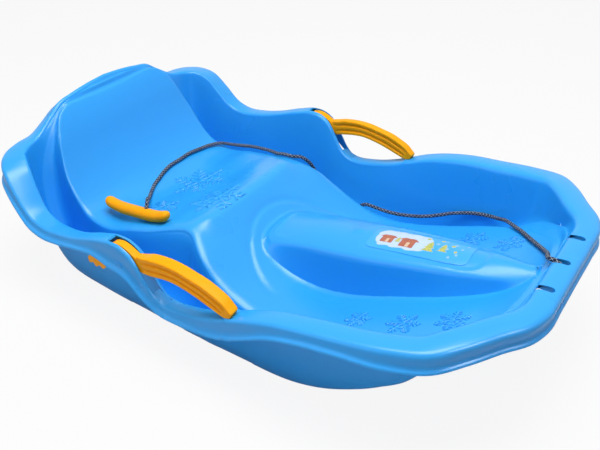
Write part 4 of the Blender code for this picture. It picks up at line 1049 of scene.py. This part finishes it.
def lever(side, sign):
    """The grip and the plate of one brake lever, about its pivot at (PIVOT_X, sign LEVER_Y, PIVOT_Z)."""
    lean = -0.12 * sign * rings[..., 1] * ease((rings[..., 0] - PIVOT_X - 0.035) / 0.02)
    points = rings + np.array([0.0, sign * LEVER_Y, 0.0])
    points[..., 2] += lean
    item = settle(object_of("lever_" + side, points, capped(*rings.shape[:2])), merge=1e-6)
    outline = corner_cut(PLATE_OUTLINE, 2) + (PIVOT_X, PIVOT_Z)
    plate = prism("plate", outline, sign * LEVER_Y - PLATE_HALF, sign * LEVER_Y + PLATE_HALF, "Y")
    modifier(plate, "BEVEL", width=0.0008, segments=3, limit_method="ANGLE", angle_limit=math.radians(60.0))
    join(item, settle(plate))
    item.data.set_sharp_from_angle(angle=math.radians(50.0))
    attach(item, "brake_" + side)
    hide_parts("brake_lever_" + side)
    return item


levers = [lever("left", 1.0), lever("right", -1.0)]
print("levers", [triangles(item) for item in levers], "triangles")

# %% [markdown]
# ## The tow handle
# The handle is a short bar that swells and turns up at both ends, so that a mitten doesn't slip off. Its
# middle line is lifted by a square law towards the ends. A hole with a recess below lets the cord in.


# %% Handle
HANDLE_HALF = 0.062
HOLE_RADIUS = 0.0037
RECESS_RADIUS = 0.0054


def tow_handle():
    """Rings about a line that lifts at its ends, closed by round caps."""
    share = np.sin(np.linspace(-0.5, 0.5, 81) * np.pi)
    away = np.abs(share)
    lift = 0.0080 * np.maximum(away - 0.35, 0.0) ** 2 / 0.42
    radius = 0.0095 - 0.0010 * np.maximum(away - 0.4, 0.0) / 0.6
    cap = np.minimum((1.0 - away) * HANDLE_HALF / 0.0085, 1.0)
    radius = radius * np.sqrt(1.0 - (1.0 - cap) ** 2)
    centre = HANDLE_CENTRE + share[:, None] * HANDLE_HALF * HANDLE_ALONG + lift[:, None] * HANDLE_UP
    angle = circle(40)
    points = (centre[:, None] + radius[:, None, None] * (np.cos(angle)[:, None] * HANDLE_ACROSS
              + 0.9 * np.sin(angle)[:, None] * HANDLE_UP))
    return settle(object_of("tow_grip", points, quads_of(81, 40, round_columns=True)), merge=1e-6)


def bore(start, end, radius):
    """A plain round cutter from one point to another."""
    axis = unit(end - start)
    side = unit(np.cross(axis, (1.0, 0.0, 0.0)))
    angle = circle(32)[:, None]
    ring = radius * (np.cos(angle) * side + np.sin(angle) * np.cross(axis, side))
    return settle(object_of("bore", np.concatenate([start + ring, end + ring]), capped(2, 32)), merge=1e-6)


handle = tow_handle()
for end, radius in ((HOLE_MIDDLE + HOLE_AXIS * 0.02, HOLE_RADIUS), (RECESS_TOP, RECESS_RADIUS)):
    cut_out(handle, bore(HOLE_MIDDLE - HOLE_AXIS * 0.02, end, radius))
handle.data.set_sharp_from_angle(angle=math.radians(40.0))
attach(handle, "sled")
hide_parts("tow_handle")
print("handle", triangles(handle), "triangles")

# %% [markdown]
# ## The label
# A clear film label with round corners lies in the panel's recess. Its print is a plain winter motif: two
# brown huts with snow on their roofs on a frosted ground, two young fir trees and a few stars. Each colour
# of the print is a mask on the mesh, worked out from distances to simple shapes, just as a printer has one
# plate for each ink.

# %% Label film and its printing plates
LABEL_FROM, LABEL_TO, LABEL_HALF, LABEL_CORNER = 0.1230, 0.2620, 0.0260, 0.009
FILM = 0.0003
# Middle (along, across) and size of each thing in the print, from the label's end towards the seat
PALE_STARS = ((0.091, 0.004, 0.0028), (0.099, 0.016, 0.0022), (0.106, -0.003, 0.0020),
              (0.114, 0.010, 0.0024), (0.121, -0.011, 0.0020), (0.124, 0.002, 0.0016),
              (0.128, 0.013, 0.0016), (0.113, -0.017, 0.0016))
GREEN_STARS = ((0.075, 0.013, 0.0030), (0.094, 0.0145, 0.0024), (0.111, 0.006, 0.0026),
               (0.118, -0.006, 0.0018))
HUTS = ((0.024, -0.010, 1.0), (0.053, -0.012, 1.15))
FIRS = ((0.083, -0.014, 1.0), (0.101, -0.010, 0.80), (0.0385, -0.008, 0.55))


def label_points(along, across):
    """A grid on the panel between two places along the sled, a hair above the recess."""
    x = np.linspace(LABEL_FROM, LABEL_TO, along)
    y = np.linspace(-1.0, 1.0, across)
    corner = np.clip(1.0 - np.minimum(x - LABEL_FROM, LABEL_TO - x) / LABEL_CORNER, 0.0, 1.0)
    width = LABEL_HALF * (1.0 - 0.10 * ease((x - 0.22) / 0.05))
    width = width - LABEL_CORNER * (1.0 - np.sqrt(1.0 - 0.98 * corner ** 2))
    gx, gy = np.meshgrid(x, y, indexing="ij")
    gy = gy * width[:, None]
    return np.stack([gx, gy, body_top(gx, gy) + FILM], axis=-1)


def inside_box(u, v, centre, half, round_by):
    """Mask of a rounded box."""
    du = np.abs(u - centre[0]) - half[0] + round_by
    dv = np.abs(v - centre[1]) - half[1] + round_by
    corner = np.hypot(np.maximum(du, 0.0), np.maximum(dv, 0.0))
    away = corner + np.minimum(np.maximum(du, dv), 0.0) - round_by
    return ease(0.5 - away / 0.0008)


def inside_roof(u, v, centre, half, height):
    """Mask of a triangle that stands on centre."""
    above = v - centre[1]
    away = np.maximum(-above, (np.abs(u - centre[0]) / half + above / height - 1.0) * half * 0.7)
    return ease(0.5 - away / 0.0008)


def inside_star(u, v, centre, radius, turn, half_stroke, blur):
    """Mask of a small six-armed star."""
    away = flake_distance(u - centre[0], v - centre[1], radius, turn) - half_stroke
    return ease(0.5 - away / blur)


def print_masks(x, y):
    """Masks of the pale ground, the brown, the green and the dark ink."""
    u, v = x - LABEL_FROM, y
    frost = 0.0010 * np.sin(u * 300.0 + 3.0 * np.sin(v * 160.0)) * np.sin(v * 250.0)
    ground = inside_box(u, v, (0.045 + frost, frost), (0.037, 0.0190), 0.014)
    for cu, cv, radius in PALE_STARS:
        ground = np.maximum(ground, 0.7 * inside_star(u, v, (cu, cv), radius, 0.2, 0.0002, 0.0008))
    brown, green, dark = np.zeros((3, *u.shape))
    for cu, cv, size in HUTS:
        hut = inside_box(u, v, (cu, cv + 0.004 * size), (0.0085 * size, 0.0065 * size), 0.0008)
        roof = inside_roof(u, v, (cu, cv + 0.0095 * size), 0.0125 * size, 0.0105 * size)
        snow = inside_roof(u, v, (cu, cv + 0.0145 * size), 0.0068 * size, 0.0060 * size)
        door = inside_box(u, v, (cu + 0.001, cv + 0.0022 * size), (0.0020 * size, 0.0040 * size), 0.0006)
        brown = np.maximum(brown, np.maximum(hut, roof) * (1.0 - snow))
        dark = np.maximum(dark, door)
    for cu, cv, size in FIRS:
        for step, half in ((0.0, 0.0085), (0.0062, 0.0068), (0.0122, 0.0050)):
            green = np.maximum(green, inside_roof(u, v, (cu, cv + step * size), half * size, 0.0098 * size))
    for cu, cv, radius in GREEN_STARS:
        green = np.maximum(green, inside_star(u, v, (cu, cv), radius, 0.3, 0.0005, 0.0006))
    return {"ground": ground, "brown": brown, "green": green, "dark": dark}


points = label_points(280, 110)
label = object_of("label_film_sheet", points, quads_of(280, 110))
face_up(label)
inks = print_masks(points[..., 0], points[..., 1])
for title, mask in inks.items():
    layer = label.data.attributes.new("ink_" + title, "FLOAT", "POINT")
    layer.data.foreach_set("value", mask.ravel().astype(np.float32))
modifier(label, "SOLIDIFY", thickness=FILM, offset=1.0)
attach(label, "sled")
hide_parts("sticker")
print("label", triangles(label), "triangles before its thickness")

# %% [markdown]
# ## Building blocks for the finishes
# Three effects are shared, so each is a node group with its own inputs and outputs: the skin that a mould
# leaves on plastic, the scuffs where the runners meet the ground, and the braid of the cord.


# %% More node helpers
def new_group(name, inputs, outputs):
    """An empty node group with a Vector input, number inputs with defaults, and number outputs."""
    group = bpy.data.node_groups.new(name, "ShaderNodeTree")
    group.interface.new_socket(name="Vector", in_out="INPUT", socket_type="NodeSocketVector")
    for title, value in inputs.items():
        socket = group.interface.new_socket(name=title, in_out="INPUT", socket_type="NodeSocketFloat")
        socket.default_value = value
    for title in outputs:
        group.interface.new_socket(name=title, in_out="OUTPUT", socket_type="NodeSocketFloat")
    return group, node(group, "NodeGroupInput").outputs, node(group, "NodeGroupOutput")


def blend_colour(tree, share, first, second):
    """Mix two colours by a share."""
    return node(tree, "ShaderNodeMix", {0: share, 6: first, 7: second}, data_type="RGBA").outputs[2]


def stretched(tree, vector, scale):
    """A pattern's place, stretched along each axis."""
    return node(tree, "ShaderNodeMapping", {"Vector": vector, "Scale": scale}).outputs[0]


def noise(tree, vector, scale, detail=2.0, roughness=0.5):
    """Cloudy noise between 0 and 1."""
    sockets = {"Vector": vector, "Scale": scale, "Detail": detail, "Roughness": roughness}
    return node(tree, "ShaderNodeTexNoise", sockets).outputs["Fac"]


# %% Group: skin of moulded plastic
skin, source, result = new_group("moulded_skin", {"Grain Size": 900.0}, ("Cloud", "Grain", "Flow"))
place = source["Vector"]
scaled = node(skin, "ShaderNodeVectorMath", {0: place, "Scale": source["Grain Size"]}, operation="SCALE")
wire(skin, result, {
    "Cloud": ramp(skin, noise(skin, place, 7.0, 3.0), 0.20, 0.80),
    "Grain": noise(skin, scaled.outputs[0], 1.0, 2.0, 0.6),
    "Flow": ramp(skin, noise(skin, stretched(skin, place, (3.0, 26.0, 14.0)), 1.0), 0.2, 0.8)})
print("group", skin.name)

# %% Group: scuffs on the runners
scuff, source, result = new_group("runner_scuff", {"Height": 0.006}, ("Mask",))
split = node(scuff, "ShaderNodeSeparateXYZ", {0: source["Vector"]}).outputs
low = maths(scuff, "SUBTRACT", 1.0, maths(scuff, "DIVIDE", split["Z"], source["Height"]), clamp=True)
lines = noise(scuff, stretched(scuff, source["Vector"], (12.0, 900.0, 300.0)), 1.0, 3.0, 0.6)
wire(scuff, result, {"Mask": times(scuff, low, ramp(scuff, lines, 0.52, 0.66))})
print("group", scuff.name)

# %% Group: braid
braid, source, result = new_group("cord_braid_pattern", {"Strands": 8.0}, ("Pale", "Mid", "Height"))
split = node(braid, "ShaderNodeSeparateXYZ", {0: source["Vector"]}).outputs
runs = [times(braid, source["Strands"], maths(braid, way, split["X"], split["Y"]))
        for way in ("ADD", "SUBTRACT")]
cells = [maths(braid, "FLOOR", run) for run in runs]
on_top = maths(braid, "LESS_THAN", maths(braid, "FLOORED_MODULO", maths(braid, "ADD", *cells), 2.0), 0.5)
under = maths(braid, "SUBTRACT", 1.0, on_top)


def of_upper(first, second):
    """The value of whichever strand lies on top."""
    return maths(braid, "ADD", times(braid, on_top, first), times(braid, under, second))


ridge = of_upper(*[maths(braid, "FRACT", run) for run in runs])
height = maths(braid, "SINE", times(braid, ridge, math.pi))
fourth = [maths(braid, "FLOORED_MODULO", number, 4.0) for number in cells]
pale = of_upper(*[maths(braid, "LESS_THAN", number, 0.5) for number in fourth])
fibre = noise(braid, stretched(braid, source["Vector"], (90.0, 90.0, 1.0)), 1.0)
wire(braid, result, {
    "Pale": times(braid, pale, ramp(braid, height, 0.15, 0.6)),
    "Mid": times(braid, on_top, maths(braid, "COMPARE", fourth[0], 2.0, 0.5)),
    "Height": maths(braid, "ADD", height, times(braid, fibre, 0.25))})
print("group", braid.name)

# %% [markdown]
# ## Finishes
# Polished moulds give a glossy skin with a faint orange peel. Colour and roughness drift a little, as
# pigment and cooling do. The hull is sky blue, the levers and the handle are yolk yellow.


# %% Plastic finishes
def use_group(tree, group, vector, **values):
    """The outputs of a node group that is placed in a material with its own values."""
    sockets = {"Vector": vector, **{key.replace("_", " "): value for key, value in values.items()}}
    return node(tree, "ShaderNodeGroup", node_tree=group, sockets=sockets).outputs


def object_place(tree):
    """The place on the object, which patterns are fixed to."""
    return node(tree, "ShaderNodeTexCoord").outputs["Object"]


def drifting(tree, base, value, share):
    """A number that drifts up from its base with a value."""
    return maths(tree, "ADD", base, times(tree, value, share))


def bump(tree, height, strength, distance):
    """A normal that a height bends a little."""
    sockets = {"Strength": strength, "Distance": distance, "Height": height}
    return node(tree, "ShaderNodeBump", sockets).outputs[0]


def plastic(name, colour, pale, roughness, specular, peel, scuffed):
    """Glossy moulded plastic with drifting colour and roughness, and scuffs low down if asked."""
    material, tree, shader = new_material(name)
    place = object_place(tree)
    effects = use_group(tree, skin, place, Grain_Size=peel)
    drift = drifting(tree, times(tree, effects["Cloud"], 0.14), effects["Flow"], 0.08)
    tint = blend_colour(tree, drift, (*colour, 1.0), (*pale, 1.0))
    rough = drifting(tree, roughness, effects["Cloud"], 0.06)
    if scuffed:
        mask = use_group(tree, scuff, place, Height=0.007)["Mask"]
        tint = blend_colour(tree, times(tree, mask, 0.55), tint, (0.22, 0.50, 0.80, 1.0))
        rough = drifting(tree, rough, mask, 0.3)
    wire(tree, shader, {"Base Color": tint, "Roughness": rough, "Specular IOR Level": specular,
                        "Normal": bump(tree, effects["Grain"], 0.06, 0.0002)})
    return material


blue = plastic("hull_blue", (0.018, 0.330, 0.820), (0.024, 0.368, 0.870), 0.26, 0.45, 700.0, True)
yellow = plastic("lever_yellow", (0.960, 0.370, 0.000), (0.970, 0.415, 0.001), 0.46, 0.15, 900.0, False)
paint(blue, hull, relief)
paint(yellow, *levers, handle)
print("plastics", blue.name, yellow.name)

# %% Cord finish
material, tree, shader = new_material("cord_yarn")
pattern = use_group(tree, braid, node(tree, "ShaderNodeUVMap", uv_map="braid").outputs[0], Strands=12.0)
dark = blend_colour(tree, pattern["Mid"], (0.008, 0.013, 0.032, 1.0), (0.030, 0.050, 0.100, 1.0))
wire(tree, shader, {
    "Base Color": blend_colour(tree, pattern["Pale"], dark, (0.50, 0.55, 0.64, 1.0)),
    "Roughness": 0.80, "Specular IOR Level": 0.20, "Normal": bump(tree, pattern["Height"], 0.6, 0.0004)})
paint(material, cord, bow_knot, handle_knot)
print("cord finish", material.name)

# %% Label finish
material, tree, shader = new_material("label_print")
place = object_place(tree)
effects = use_group(tree, skin, place, Grain_Size=500.0)
speckle = ramp(tree, noise(tree, place, 700.0), 0.45, 0.6)
tint = blend_colour(tree, effects["Cloud"], (0.025, 0.345, 0.85, 1.0), (0.040, 0.385, 0.90, 1.0))
colours = {
    "ground": (0.56, 0.66, 0.84, 1.0),
    "brown": blend_colour(tree, speckle, (0.32, 0.070, 0.035, 1.0), (0.48, 0.15, 0.08, 1.0)),
    "green": blend_colour(tree, speckle, (0.30, 0.40, 0.08, 1.0), (0.62, 0.52, 0.12, 1.0)),
    "dark": (0.62, 0.44, 0.30, 1.0),
}
for title, colour in colours.items():
    mask = node(tree, "ShaderNodeAttribute", attribute_name="ink_" + title).outputs["Fac"]
    tint = blend_colour(tree, times(tree, mask, 0.80) if title == "ground" else mask, tint, colour)
wire(tree, shader, {"Base Color": tint, "Roughness": drifting(tree, 0.25, effects["Cloud"], 0.1),
                    "Normal": bump(tree, effects["Grain"], 0.05, 0.0002)})
paint(material, label)
print("label finish", material.name)

# %% [markdown]
# ## Hinge pins
# The pins are the one part whose CAD mesh stays. They are turned from steel wire, so fine lines run round
# them.

# %% Pin finish
material, tree, shader = new_material("pin_turned_steel")
lines = noise(tree, stretched(tree, object_place(tree), (60.0, 5000.0, 60.0)), 1.0)
wire(tree, shader, {
    "Base Color": blend_colour(tree, lines, (0.50, 0.51, 0.53, 1.0), (0.72, 0.73, 0.75, 1.0)),
    "Metallic": 1.0, "Roughness": drifting(tree, 0.25, lines, 0.15)})
pins = [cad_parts[title] for title in ("hinge_pin_left", "hinge_pin_right")]
for pin in pins:
    pin.data.materials.clear()
paint(material, *pins)
print("pins", len(pins))
